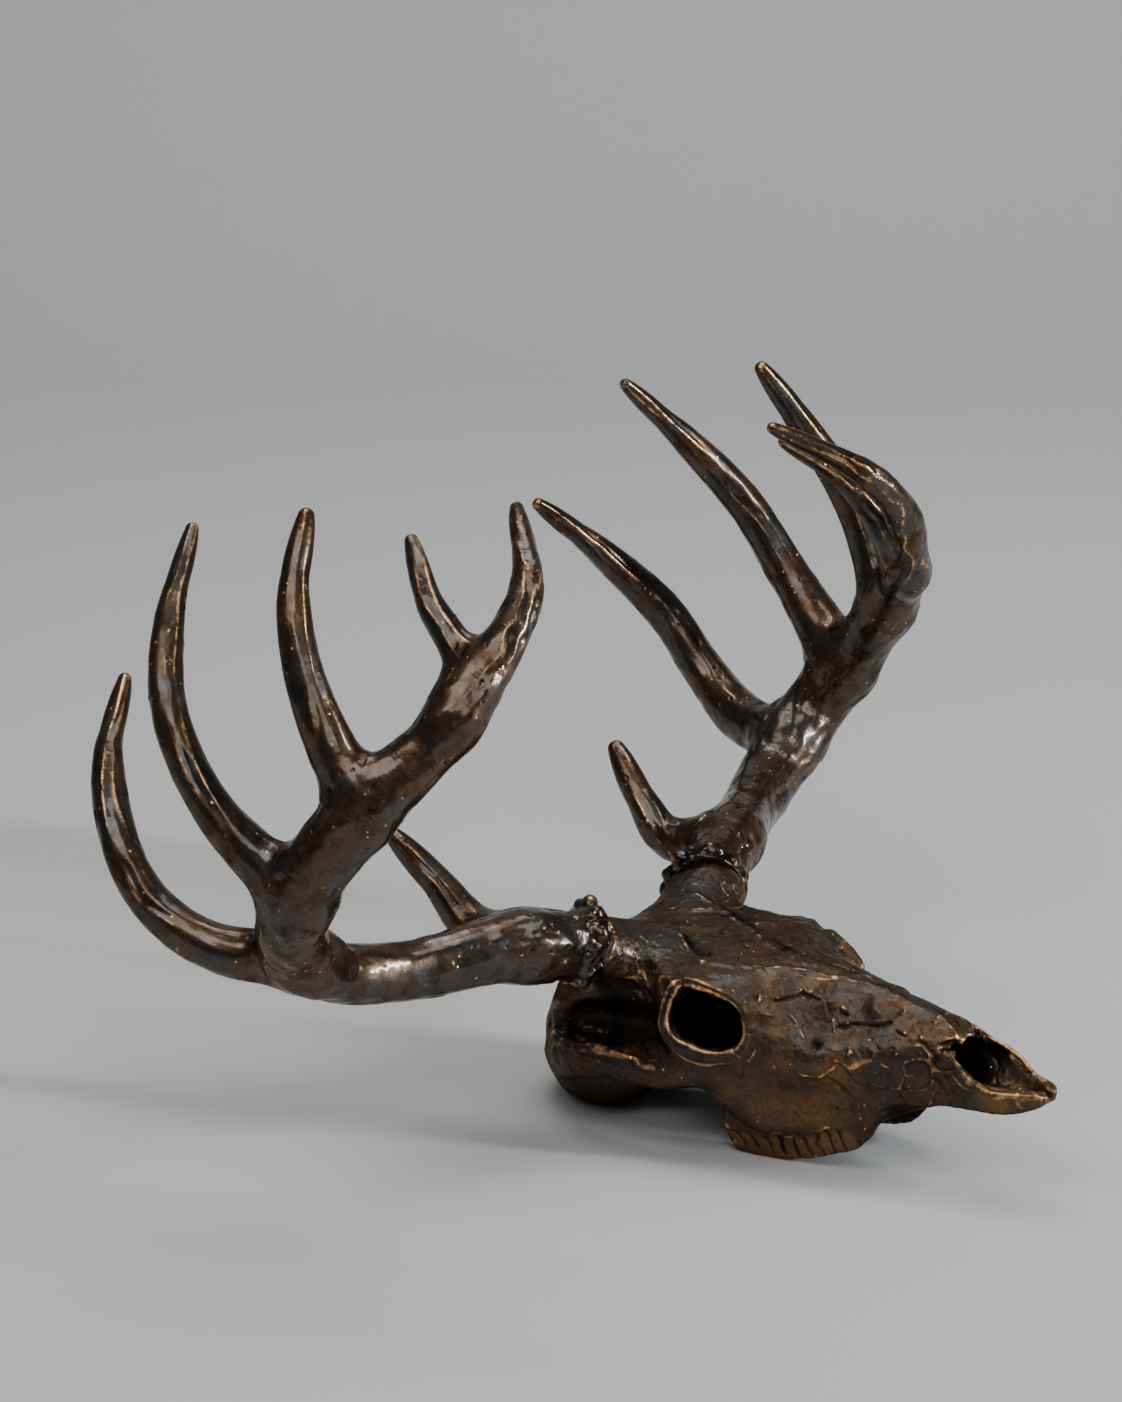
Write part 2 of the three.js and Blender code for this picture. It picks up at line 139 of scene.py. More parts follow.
# The row of teeth: (x, height of its underside), and (x, middle, half-width) at either end. Each side's
# front end reaches further by its own amount, from this x on.
TOOTH_EDGE = [(63.5, 38), (67.5, 11), (71.5, 4), (77, 1.2), (84, 0), (98, 0), (106, 1.8), (115, 4.3),
              (132, 10.5), (138, 15), (143, 20.5), (147, 29), (153, 40)]
TOOTH_ROW = {"rear": (66, 32.5, 7.2), "front": (142, 21, 4.6), "top": 32, "rounding": 3.5,
             "further": {LEFT: 3.0, RIGHT: -1.0}, "from": 112, "over": 24}

# The eye socket: its mouth's outline in the mouth's own plane, as (forward, up).
SOCKET = {"at": (67, 54, 72), "axis": (0.313, 0.9, 0.3), "depth": 40, "narrowing": 0.015, "rim": 3.4,
          "brow": 3.0}
# The socket's walls lean, so their distance is this share of the one across its mouth.
SLANT = 0.94
SOCKET_OUTLINE = [(-9.2, 11.8), (0.9, 13.3), (9.6, 12.2), (15.6, 8.6), (17.6, 3.0), (15.8, -4.4),
                  (11.8, -10), (4.4, -12.8), (-8, -14.6), (-14.8, -14), (-18.6, -8.2), (-19.8, 2.6),
                  (-16, 9)]

ARCH = [(64, 54, 49, 11), (46, 60, 43, 8), (34, 61, 40, 6.5), (11, 59, 38.5, 7), (-10, 53, 34, 9),
        (-28, 41, 29, 11)]
ARCH_CREST = [(42, 58, 43, 1.8), (34, 60, 43.5, 1.8), (26, 61, 45.5, 1.8), (13, 60, 47, 1.8),
              (-1, 57, 44, 1.8), (-9, 54, 40.5, 1.8), (-27, 46, 38.5, 1.8), (-38, 37, 38, 1.8)]
ARCH_FLATNESS = 0.5
# The rubbed upper edge of the arch.
ARCH_EDGE = [(-34, 41, 35), (-20, 51, 38), (-6, 57.5, 41.5), (4, 60, 44.5), (17, 62, 47.3),
             (27, 63.2, 47), (37, 64, 46), (46, 62, 46)]
NAPE_CREST = [(-29, 38, 37, 2.4), (-33, 37, 50, 2.6), (-34, 33, 62, 2.6), (-33, 22, 76, 2.6)]

# Rounded forms: place and radii.
BULGE = ((-18, 22.5, 21.8), (28, 21.5, 22.5))
CONDYLE = ((-46, 13, 22), (9, 8, 10))
FOSSAE = [((28, 60, 62), (13.5, 20, 16)), ((11, 61, 64.5), (20.5, 27, 19.5)),
          ((-3, 58, 53), (25, 25, 22)), ((-17, 50, 50), (15, 17, 12.5))]
FORAMEN = [(-70, 0, 36, 10), (-30, 0, 36, 10)]
# The trough between the arch and the braincase: carved out, and its lower part painted with shade.
FOSSA_TROUGH = [(36, 43, 58, 8), (24, 42, 54, 11), (8, 39, 51, 12.5), (-8, 37, 49, 11), (-20, 36, 47, 7)]
LOBE = [(-6, 22, 24, 18), (19, 19, 31, 10)]
CHEEK_HOLLOW = [(92, 66, 32, 20), (112, 58, 34, 21), (134, 48, 40, 18)]
NASAL_NOTCH = [(173.5, 24, 71.5, 1.6), (174.5, 15, 72, 1.9), (178, 10, 72.5, 2.6), (186, 8, 74, 3)]
# The two blades beside the nasal opening end at unlike edges: the right one is cut lower.
BLADE_CUT = [(183, 14, 73, 6), (191, 14.5, 68, 6), (197, 14.5, 63.6, 6), (202, 14, 61.8, 6),
             (208, 13, 61.8, 6), (216, 10, 62, 5.5), (223, 6, 62, 5)]
BLADE_BEADS = {
    RIGHT: [(178, 16.5, 69, 1.5), (184, 16.2, 65, 1.5), (191, 16.4, 60.5, 1.5), (197, 15.8, 56.6, 1.6),
            (202, 15.2, 54.6, 1.6), (208, 13.8, 54.2, 1.7), (216, 10.6, 54.8, 1.7), (222, 8, 55, 1.7)],
    LEFT: [(170, 17, 72.5, 1.2), (177, 16.6, 71, 1.4), (183, 15.6, 68.8, 1.4), (190, 15, 67.2, 1.5),
           (196, 14.6, 65.2, 1.5), (202, 13.8, 63.2, 1.5), (207, 12.4, 60, 1.5), (213, 10.4, 56.4, 1.6),
           (219, 7.6, 53.8, 1.7)],
}
# The left brow stands out further than the right one.
LEFT_BROW = [(74, 46, 88, 3), (81, 45, 84, 3.3), (87, 44.5, 80, 3.3), (92, 44, 75.5, 3)]
MUZZLE_SLOT = [(214, 0, 55, 1.2), (230, 0, 53, 2.6)]

# The nasal opening: x, half-width, low and high.
NASAL_HOLLOW = [
    (128, 3, 58, 72), (140, 8, 50, 78), (164, 11, 48, 76), (181, 13, 49, 73),
    (182.5, 15.2, 49, 88), (190, 15.8, 50, 88), (199, 14, 50.5, 84), (209, 11.2, 51, 80),
    (217, 7.5, 52, 76), (222, 3.5, 54, 72),
]

# Raised seams of the skull: height, width and points of (x, y outward, z).
SEAMS = {
    "brow_front": (0.9, 1.1, [(86, 39, 83), (85, 36, 87), (88, 29, 89), (93, 22, 90), (98, 18, 91)]),
    "tear_duct": (0.7, 0.9, [(92, 33, 83), (97, 28, 85), (102, 21, 88)]),
    "duct_ring": (0.8, 0.8, [(100, 21, 88), (101, 17, 91), (106, 18, 88), (104, 22, 86), (100, 21, 88)]),
    "nasal_side": (0.6, 0.9, [(101, 16, 91), (110, 10, 91), (118, 7, 91), (130, 4, 90), (150, 2.5, 86)]),
    "nasal_edge": (0.7, 0.9, [(150, 2.5, 86), (164, 3, 83), (174, 6, 79), (180, 8, 75)]),
    "lip_crest": (0.6, 0.8, [(113, 20, 83), (117, 19, 82), (124, 19, 79)]),
    "lip_upright": (0.7, 0.8, [(119, 23, 76), (122, 26, 71)]),
    "cheek_seam": (0.7, 0.8, [(101, 34, 76), (104, 34, 73), (112, 36, 66)]),
    "snout_hook": (0.9, 1.0, [(151, 9, 82), (154, 10, 81), (157, 11, 80), (160, 14, 77), (163, 14, 75)]),
    "face_crest": (1.0, 1.0, [(104, 42, 57), (109, 41, 55), (112, 39, 52), (120, 35, 52), (122, 35, 54),
                              (128, 33, 59), (133, 29, 64)]),
    "face_band": (0.8, 1.6, [(130, 32, 57), (139, 29, 59), (152, 24, 61), (158, 23, 60), (163, 21, 57)]),
    "snout_seam": (0.5, 0.7, [(160, 21, 55), (166, 20, 56), (173, 19, 58)]),
    "roof_ridge": (1.0, 1.7, [(3, -25, 102), (21, -22, 99), (45, -12, 98), (66, 2, 98), (84, 8, 96),
                              (97, 7, 94)]),
    "temple_ridge": (1.3, 1.6, [(14, 11, 99), (32, 23, 97), (44, 31, 96), (54, 36, 95)]),
    "temple_shadow": (0.6, 0.8, [(22, 27, 98), (38, 32, 95), (53, 38, 94)]),
    "brow_shelf": (0.7, 1.5, [(53, 38, 94), (70, 30, 94), (86, 19, 94), (103, 11, 92), (122, 4, 91)]),
    "bar_gusset": (0.9, 1.4, [(22, 47, 90), (26, 45, 82), (27, 44, 76)]),
    "bar_back": (0.8, 1.2, [(9, 37, 73), (14, 35, 68), (23, 38, 67)]),
    "nape_line": (1.1, 1.8, [(-32, 35, 63), (-33, 38, 52), (-33, 40, 44), (-30, 46, 38)]),
    "arch_lip": (0.9, 1.0, [(-23, 49, 40), (-9, 55, 42.5), (2, 59, 46.5), (15, 61, 49), (25, 62, 47.5),
                            (34, 61, 45)]),
    "gum_line": (0.8, 1.0, [(69, 40, 13), (82, 38, 13), (97, 37, 15), (99, 35, 12.5), (107, 34, 15),
                            (116, 32, 20), (124, 31, 24), (133, 28, 21)]),
    "blade_outer": (0.7, 0.9, [(176, 17, 68), (182, 18, 62), (189, 18, 57), (197, 17, 55),
                               (206, 15, 54)]),
    "muzzle_seam": (0.5, 0.8, [(138, 28, 30), (143, 23, 24)]),
    "cheek_plate": (0.6, 0.8, [(83, 54, 58), (86, 51, 55), (89, 49, 57), (90, 47, 62)]),
    "duct_seam": (0.6, 0.8, [(85, 50, 74), (89, 44, 77), (93, 39, 76), (97, 36, 73)]),
}
# These cross the roof from one side to the other.
RIGHT_ONLY = ("roof_ridge", "roof_hollow", "temple_shadow")
# Sunken seams: depth, width and points.
CREASES = {
    "duct_shadow": (1.3, 1.4, [(92, 34, 82), (99, 27, 84), (103, 23, 84.5), (110, 20, 83)]),
    "snout_crease": (1.1, 0.9, [(123, 24, 73), (132, 20, 75), (139, 18, 76), (145, 14, 78)]),
    "lip_crease": (0.9, 0.9, [(119, 20, 79), (123, 20, 77)]),
    "hook_crease": (0.8, 0.8, [(150, 17, 76), (155, 16, 74)]),
    "muzzle_crease_a": (0.8, 0.8, [(178, 19, 60), (181, 18.5, 56), (183, 18, 52)]),
    "muzzle_crease_b": (0.7, 0.8, [(174, 19, 57), (179, 18, 50)]),
    "muzzle_crease_c": (0.7, 0.8, [(186, 14, 47), (190, 12, 44)]),
    "nasal_suture": (0.8, 1.0, [(96, 0, 95.5), (130, 0, 90.5), (155, 0, 85), (176, 0, 79.5)]),
    "roof_hollow": (0.9, 2.5, [(20, -27, 98), (45, -18, 96), (66, -4, 96), (82, 1, 95)]),
    "temple_hollow": (0.8, 2.4, [(30, 17, 99), (42, 26, 97), (50, 30, 96)]),
    "brow_crease": (0.8, 1.5, [(86, 36, 80), (84, 41, 87), (80, 44, 91)]),
}
# Where the patina is rubbed to brown gold: place and radius.
GOLDEN = [((100, 40, 32), 26), ((204, 16, 48), 9), ((222, 6, 54), 6), ((128, 34, 48), 14)]
# Domes and dents: place, radius, and height or depth.
DOMES = [((137, 13, 82), 4.5, 1.5), ((133, 28.5, 64), 1.8, 0.8), ((88, 50, 63), 3.5, 0.7),
         ((150, 9.5, 82), 2.2, 0.9), ((86, 44, 78), 3.2, 0.8), ((-8, 36, 60), 9, 1.6)]
DENTS = [((116, 34, 66), 3.2, 2.4), ((112, 27, 76), 9, 1.2), ((56, -6, 98), 2.2, 1.3),
         ((62, -13, 97), 2.0, 1.3), ((77, 3, 97), 2.0, 1.2), ((133, 28.5, 64), 0.9, 1.2),
         ((100, 46, 45), 10, 0.8), ((118, 36, 44), 8, 0.9), ((67, 54, 47), 7, 0.6)]
# The net of small holes by the pedicle; a hole's radius is a share of its cell.
NET = {"at": (18, 46, 93), "radius": 17, "cell": 2.9, "hole": 0.42, "depth": 0.75}
TOOTH_GROOVES = {"count": 11, "slant": 0.35, "depth": 0.9, "width": 0.8}

# Each keel runs along the tines on the side that faces this way: direction, height and breadth.
KEELS = [((0.90, -0.35, 0.25), 0.6, 0.9), ((0.45, -0.85, 0.10), 0.35, 0.8)]
BEADS = {"spacing": 9.5, "radius": 5.2, "height": 1.6}

# Swells of the skull's skin: height, size, seed and octaves.
SKULL_SWELL = [(0.7, 17.0, 11, 1), (0.42, 7.5, 12, 3), (0.12, 2.8, 14, 2)]
# Facets, fine grain and veins of the antlers: size across, size along, and seed.
ANTLER_GRAIN = [(7.5, 50, 101), (4.2, 22, 103), (5.5, 40, 105)]
# Small knobs and holes: spacing, radius, the share of places that have one, the power of its outline,
# and what it adds to the height, the wear and the dirt.
MARKS = {
    "skull_pit": (6.5, 0.9, 0.35, 1, -1.1, 0, 1.4), "skull_knob": (8.5, 1.0, 0.4, 2, 0.6, 1, 0),
    "antler_pit": (4.6, 1.05, 0.36, 1, -0.9, 0, 1.5), "antler_knob": (6.5, 0.9, 0.35, 2, 0.5, 1, 0),
    "burr_hole": (6.0, 1.7, 0.55, 1, -1.4, 0, 1.3), "burr_knob": (5.5, 2.6, 0.6, 2, 0.6, 0, 0),
}
# How what stands out is rubbed and what lies deep is dirtied.
AGE = {"from": 0.03, "rub": 5.5, "dirt_and_shade": 6, "most": 0.9}
# The tables of random values repeat after this many cells.
TABLE = 32

# ---- Curves ----------------------------------------------


def unit(values):
    return np.clip(values, 0, 1)


def lengths(vectors):
    return np.linalg.norm(vectors, axis=1)


def directed(vectors):
    """The vectors at length one."""
    return vectors / np.maximum(lengths(vectors), 1e-9)[:, None]


def mirrored(place, side):
    return np.array(place, float) * (1, side, 1)


def spline(points, per_span, closed=False):
    """Uniform Catmull-Rom samples through points, per_span to a span."""
    points = np.asarray(points, float)
    if closed:
        padded = np.vstack([points[-1:], points, points[:2]])
    else:
        padded = np.vstack([2 * points[0] - points[1], points, 2 * points[-1] - points[-2]])
    count = (len(padded) - 3) * per_span
    place = np.arange(count + (0 if closed else 1)) / per_span
    span = np.minimum(place.astype(int), len(padded) - 4)
    w = (place - span)[:, None]
    before, start, end, after = (padded[span + k] for k in range(4))
    slope_in, slope_out = (end - before) / 2, (after - start) / 2
    return (
        start + slope_in * w + (3 * (end - start) - 2 * slope_in - slope_out) * w**2
        + (2 * (start - end) + slope_in + slope_out) * w**3
    )


def leaned(branch, side):
    """The branch's path on one side, moved by its share of the difference between the sides."""
    path = np.array(branch["path"], float)
    stops = np.array(branch["lean"], float)
    place = np.linspace(0, len(stops) - 1, len(path))
    lean = np.stack([np.interp(place, np.arange(len(stops)), column) for column in stops.T], axis=1)
    return path - side * lean


def outward(path, side):
    return np.array(path, float) * (1, side, 1, 1)


def blunted(limb):
    """Rounds the limb's last stretch off to a blunt tip."""
    steps = lengths(np.diff(limb[:, :3], axis=0))
    left = np.concatenate([np.cumsum(steps[::-1])[::-1], [0]])
    full = np.interp(BLUNT["run"], left[::-1], limb[::-1, 3])
    short = 1 - left / BLUNT["run"]
    rounded = full * np.sqrt(1 - (1 - BLUNT["tip"] ** 2) * unit(short) ** 2)
    return np.column_stack([limb[:, :3], np.where(short > 0, rounded, limb[:, 3])])


def antler_limbs(side, per_span=12):
    """The limbs of one antler as samples of (x, y, z, radius), the beam first."""
    beam = leaned(BEAM, side)
    dense = spline(beam, 20)
    limbs = {"beam": spline(beam, per_span)}
    for name, tine in TINES.items():
        at, shift = tine["root"]
        root = dense[int(round((at - side * shift) * 20))] * (1, 1, 1, ROOT_SHARE)
        limbs[name] = spline(np.vstack([root, leaned(tine, side)]), per_span)
    return {name: outward(blunted(limb), side) for name, limb in limbs.items()}


# ---- Fields of distance ----------------------------------


class Field:
    """A block of space that holds the distance to the nearest surface at each point."""

    def __init__(self, low, high, step):
        self.low = np.array(low, float)
        self.step = step
        self.axes = [np.arange(start, end, step).astype(np.float32) for start, end in zip(low, high)]
        self.distance = np.full([len(axis) for axis in self.axes], FAR, np.float32)

    def window(self, low, high):
        cuts = tuple(
            slice(*np.searchsorted(axis, (start, end)).tolist())
            for axis, start, end in zip(self.axes, low, high))
        axes = (axis[cut] for axis, cut in zip(self.axes, cuts))
        return cuts, np.meshgrid(*axes, indexing="ij", sparse=True)

    def join(self, cuts, distance, blend):
        self.distance[cuts] = soft_min(self.distance[cuts], distance, blend)

    def carve(self, cuts, distance, blend):
        self.distance[cuts] = -soft_min(-self.distance[cuts], distance, blend)


def soft_min(a, b, blend):
    share = unit(0.5 + 0.5 * (b - a) / blend)
    return b + (a - b) * share - blend * share * (1 - share)


def limb_window(field, limb, margin, flatness=1.0):
    """The limb's own distance over the box that it reaches; flatness is its breadth over height."""
    reach = limb[:, 3].max() * max(flatness, 1.0) + margin
    low, high = limb[:, :3].min(axis=0) - reach, limb[:, :3].max(axis=0) + reach
    cuts, _ = field.window(low, high)
    own = np.full([cut.stop - cut.start for cut in cuts], FAR, np.float32)
    for start, end in zip(limb[:-1], limb[1:]):
        near = max(start[3], end[3]) * max(flatness, 1.0) + margin
        inner, (x, y, z) = field.window(
            np.minimum(start, end)[:3] - near, np.maximum(start, end)[:3] + near)
        along = end[:3] - start[:3]
        length = np.linalg.norm(along)
        if length < 1e-6:
            continue
        along /= length
        px, py, pz = x - start[0], y - start[1], z - start[2]
        share = unit((px * along[0] + py * along[1] + pz * along[2]) / length)
        dx, dy, dz = (p - share * length * a for p, a in zip((px, py, pz), along))
        radius = start[3] + share * (end[3] - start[3])
        total = dx * dx + dy * dy + dz * dz
        if flatness == 1.0:
            distance = np.sqrt(total) - radius
        else:
            upward = np.array((0.0, 0.0, 1.0)) - along * along[2]
            aside = np.cross(along, upward / np.linalg.norm(upward))
            wide = dx * aside[0] + dy * aside[1] + dz * aside[2]
            distance = np.sqrt(total - wide * wide + (wide / flatness) ** 2) - radius
            distance *= min(1.0, 0.5 + flatness / 2)
        local = tuple(slice(i.start - c.start, i.stop - c.start) for i, c in zip(inner, cuts))
        own[local] = np.minimum(own[local], distance)
    return cuts, own


def ball_window(field, centre, radii):
    radii = np.array(radii, float)
    cuts, grid = field.window(centre - radii - BALL_MARGIN, centre + radii + BALL_MARGIN)
    parts = [(g - c) / r for g, c, r in zip(grid, centre, radii)]
    scaled = np.sqrt(sum(p * p for p in parts))
    return cuts, (scaled - 1) * radii.min()


def mesh_of(field):
    """The points and outward quads of the surface where the distance is nought."""
    grid = openvdb.FloatGrid(FAR)
    grid.copyFromArray(np.clip(field.distance, -FAR, FAR))
    grid.transform = openvdb.createLinearTransform(voxelSize=field.step)
    points, quads = grid.convertToQuads(0.0)
    return points.astype(np.float64) + field.low, quads.astype(np.int64)


# ---- Relief ----------------------------------------------


def bell(distance, width):
    return np.exp(-(distance / width) ** 2)


def lattice(points, size, seed):
    """Smooth random values from -1 to 1 that change over the given size."""
    table = np.random.default_rng(seed).uniform(-1, 1, (TABLE,) * 3).astype(np.float32)
    place = points / size
    cell = np.floor(place).astype(np.int32)
    share = (place - cell).astype(np.float32)
    share = share * share * (3 - 2 * share)
    ends = (cell % TABLE, (cell + 1) % TABLE)
    total = np.zeros(len(points), np.float32)
    for corner in np.ndindex(2, 2, 2):
        weight = 1.0
        for axis, far in enumerate(corner):
            weight = weight * np.abs(1 - far - share[:, axis])
        total += table[tuple(ends[far][:, axis] for axis, far in enumerate(corner))] * weight
    return total


def rough(points, size, seed, octaves=3):
    return sum(lattice(points, size / 2**k, seed + k) / 2**k for k in range(octaves))


def scatter(points, spacing, seed):
    """Distance to the nearest of a scatter of spots, and that spot's random value."""
    generator = np.random.default_rng(seed)
    shift = generator.uniform(0.22, 0.78, (TABLE, TABLE, TABLE, 3)).astype(np.float32)
    value = generator.uniform(0, 1, (TABLE,) * 3).astype(np.float32)
    place = (points / spacing).astype(np.float32)
    cell = np.floor(place - 0.5).astype(np.int32)
    nearest = np.full(len(points), 9.0, np.float32)
    found = np.zeros(len(points), np.float32)
    for offset in np.ndindex(2, 2, 2):
        corner = cell + offset
        wrapped = tuple((corner % TABLE).T)
        distance = lengths(place - (corner + shift[wrapped]))
        closer = distance < nearest
        nearest = np.where(closer, distance, nearest)
        found = np.where(closer, value[wrapped], found)
    return nearest * spacing, found


def wandered(points, reach, size, seed):
    """The places moved about a little, so that what is drawn over them runs unevenly."""
    return points + reach * np.stack([lattice(points, size, seed + k) for k in range(3)], axis=1)


def line_distance(points, line, reach):
    """Distance to a smooth line, for the points that it comes near; the rest stay far."""
    line = spline([stop[:3] for stop in line], 4)
    distance = np.full(len(points), FAR)
    near = np.all((points > line.min(axis=0) - reach) & (points < line.max(axis=0) + reach), axis=1)
    chosen = points[near]
    best = np.full(len(chosen), FAR)
    for start, end in zip(line[:-1], line[1:]):
        along = end - start
        share = unit((chosen - start) @ along / max(along @ along, 1e-9))
        best = np.minimum(best, lengths(chosen - start - share[:, None] * along))
    distance[near] = best
    return distance


class Surface:
    """A meshed field whose points can be pushed along their normals, with layers of values on them."""

    # The cavity layer holds the patina's dark in holes and creases, and also painted shade in the
    # recesses, under the skull and between the teeth.
    SHOWN = ("wear", "cavity", "tone", "polish")

    def __init__(self, field):
        self.step = field.step
        self.points, self.quads = mesh_of(field)
        for layer in ("height", *self.SHOWN):
            setattr(self, layer, np.zeros(len(self.points)))

    def normals(self):
        corner = self.points[self.quads]
        face = np.cross(corner[:, 2] - corner[:, 0], corner[:, 3] - corner[:, 1])
        total = np.stack([
            np.bincount(self.quads.ravel(), np.repeat(face[:, axis], 4), len(self.points))
            for axis in range(3)], axis=1)
        return directed(total)

    def neighbour_mean(self, values):
        first, second = self.quads.ravel(), np.roll(self.quads, -1, axis=1).ravel()
        size = len(values)
        total = np.bincount(first, values[second], size) + np.bincount(second, values[first], size)
        number = np.bincount(first, minlength=size) + np.bincount(second, minlength=size)
        return total / np.maximum(number, 1)

    def bulging(self):
        """How far each point stands out of its neighbours, in millimetres."""
        mean = np.stack([self.neighbour_mean(column) for column in self.points.T], axis=1)
        value = ((self.points - mean) * self.normals()).sum(axis=1)
        for _ in range(2):
            value = self.neighbour_mean(value)
        return value

    def strew(self, kind, seed, places=None, kept=1.0):
        """Adds a scatter of small knobs or holes."""
        spacing, radius, share, power, height, wear, cavity = MARKS[kind]
        gap, chance = scatter(self.points if places is None else places, spacing, seed)
        mark = unit(1 - (gap / radius) ** power) * (chance < share) * kept
        self.height += height * mark
        self.wear += wear * mark
        self.cavity += cavity * mark

    def push(self, kept):
        """Raises the points by the kept share of their height."""
        self.points += self.normals() * (self.height * kept)[:, None]

    def age(self):
        """Rubs what stands out and darkens what lies deep."""
        curve = self.bulging() / self.step**2
        self.wear += np.clip((curve - AGE["from"]) * AGE["rub"], 0, AGE["most"]) * unit(1 - self.cavity)
        self.cavity += np.clip((-curve - AGE["from"]) * AGE["dirt_and_shade"], 0, AGE["most"])
        self.wear, self.cavity = unit(self.wear), unit(self.cavity)


# ---- Skull -----------------------------------------------


def core_table(columns=240):
    """The core's outline as a radius over x and angle about a centre that rises and falls with x."""
    x = np.arange(*CORE_RUN, 1.0)
    brow, flank, cheek, gum = (
        spline([(s[0], *s[pick]) for s in SECTIONS], 12) for pick in range(2, 6))
    top, palate = (spline([(s[0], 0, s[pick]) for s in SECTIONS], 12) for pick in (1, 6))
    loop = [(cheek, 1), (flank, 1), (brow, 1), (top, 1), (brow, -1), (flank, -1), (cheek, -1),
            (gum, -1), (palate, 1), (gum, 1)]
    keys = np.stack([
        np.stack([side * np.interp(x, rail[:, 0], rail[:, 1]),
                  np.interp(x, rail[:, 0], rail[:, 2])], axis=1)
        for rail, side in loop], axis=1)
    centre = (keys[:, 3, 1] + keys[:, 8, 1]) / 2
    angles = np.linspace(-math.pi, math.pi, columns + 1)
    radius = np.empty((len(x), columns + 1))
    for row, (ring, middle) in enumerate(zip(keys, centre)):
        outline = spline(ring, 16, closed=True) - (0, middle)
        radius[row] = outline_reach(outline, angles)
    return x, centre, angles, radius


def outline_reach(outline, angles):
    """How far a closed outline lies from its middle in each direction."""
    own = np.arctan2(outline[:, 1], outline[:, 0])
    order = np.argsort(own)
    return np.interp(angles, own[order], np.hypot(*outline[order].T), period=2 * math.pi)


def core_distance(field):
    x, centre, angles, radius = core_table()
    gx, gy, gz = np.meshgrid(*field.axes, indexing="ij", sparse=True)
    flat_x = gx.ravel()
    middle = np.interp(flat_x, x, centre).astype(np.float32)[:, None, None]
    rho = np.hypot(gy, gz - middle)
    angle = np.arctan2(gz - middle, gy + 0 * gz)
    turn = 2 * math.pi / (len(angles) - 1)
    row = np.clip(flat_x - x[0], 0, len(x) - 1.001)
    column = (angle + math.pi) / (2 * math.pi) * (len(angles) - 1)
    row_low = row.astype(int)[:, None, None]
    row_share = (row - row.astype(int)).astype(np.float32)[:, None, None]
    column_low = np.clip(column.astype(np.int32), 0, len(angles) - 2)
    column_share = column - column_low
    along, around = np.gradient(radius, axis=0), np.gradient(radius, axis=1) / turn / radius
    slant = 1 / np.sqrt(1 + along**2 + around**2)

    def sample(table):
        table = table.astype(np.float32)
        first, second = (
            table[line, column_low] * (1 - column_share) + table[line, column_low + 1] * column_share
            for line in (row_low, row_low + 1))
        return first + (second - first) * row_share

    distance = (rho - sample(radius)) * sample(slant)
    ends = np.maximum(SECTIONS[0][0] - gx, gx - SECTIONS[-1][0])
    return -soft_min(-distance, -ends, CORE_ROUNDING)


def tooth_window(field, side):
    """One row of teeth as a single rounded mass under the gum."""
    rear, front, rounding = TOOTH_ROW["rear"], TOOTH_ROW["front"], TOOTH_ROW["rounding"]
    inner, outer = sorted((8 * side, 46 * side))
    cuts, (x, y, z) = field.window((rear[0] - 10, inner, -4), (front[0] + 10, outer, 44))
    share = (x - rear[0]) / (front[0] - rear[0])
    middle = (rear[1] + share * (front[1] - rear[1])) * side
    half = rear[2] + share * (front[2] - rear[2]) - rounding
    edge = spline(TOOTH_EDGE, 8)
    place = x - TOOTH_ROW["further"][side] * unit((x - TOOTH_ROW["from"]) / TOOTH_ROW["over"])
    foot = np.interp(place, edge[:, 0], edge[:, 1])
    slope = np.interp(place, edge[:, 0], np.gradient(edge[:, 1], edge[:, 0]))
    under = (foot - z) / np.sqrt(1 + slope**2) + rounding
    wall = np.hypot(np.maximum(np.abs(y - middle) - half, 0), np.maximum(under, 0)) - rounding
    return cuts, np.maximum(wall, z - TOOTH_ROW["top"])


def socket_frame(side):
    """The middle of the socket's mouth and its directions forward, up and outward."""
    out = mirrored(SOCKET["axis"], side)
    out /= np.linalg.norm(out)
    forward = np.array((1.0, 0, 0)) - out * out[0]
    forward /= np.linalg.norm(forward)
    up = np.cross(forward, out) * -side
    return mirrored(SOCKET["at"], side), (forward, up, out)


def socket_places(x, y, z, side):
    """Height over the socket's mouth, distance from its axis and the outline's distance there, the gap
    to the hollow's wall, and how much the place lies ahead of the axis and above it.
    """
    middle, directions = socket_frame(side)
    along, high, height = (
        (x - middle[0]) * d[0] + (y - middle[1]) * d[1] + (z - middle[2]) * d[2] for d in directions)
    rho = np.hypot(along, high)
    reach = outline_reach(spline(SOCKET_OUTLINE, 12, closed=True), np.arctan2(high, along))
    gap = rho - reach * (1 + np.clip(height, -SOCKET["depth"], 12) * SOCKET["narrowing"])
    return height, rho, reach, gap, along / np.maximum(rho, 1), unit(high / np.maximum(rho, 1))


def socket_window(field, side):
    """Distances of the socket's raised rim and of its hollow, over one box."""
    middle, _ = socket_frame(side)
    cuts, grid = field.window(middle - (50, 52, 50), middle + (50, 52, 50))
    height, rho, reach, gap, ahead, above = socket_places(*grid, side)
    hollow = np.maximum(gap * SLANT, -SOCKET["depth"] - height)
    wall = (rho - reach - SOCKET["rim"] - SOCKET["brow"] * above + 1.4 * ahead) * SLANT
    rim = -soft_min(-wall, -(np.abs(height + 8.5 + ahead) - 8), 4.0)
    return cuts, rim, hollow


def nasal_window(field):
    table = np.array(NASAL_HOLLOW, float)
    cuts, (x, y, z) = field.window((126, -18, 44), (226, 18, 92))
    half, low, high = (np.interp(x, table[:, 0], table[:, k]) for k in (1, 2, 3))
    middle, tall = (high + low) / 2, (high - low) / 2
    radial = np.sqrt((y / half) ** 2 + ((z - middle) / tall) ** 2)
    ends = np.maximum(table[0, 0] - x, x - table[-1, 0])
    return cuts, np.maximum((radial - 1) * np.minimum(half, tall), ends)


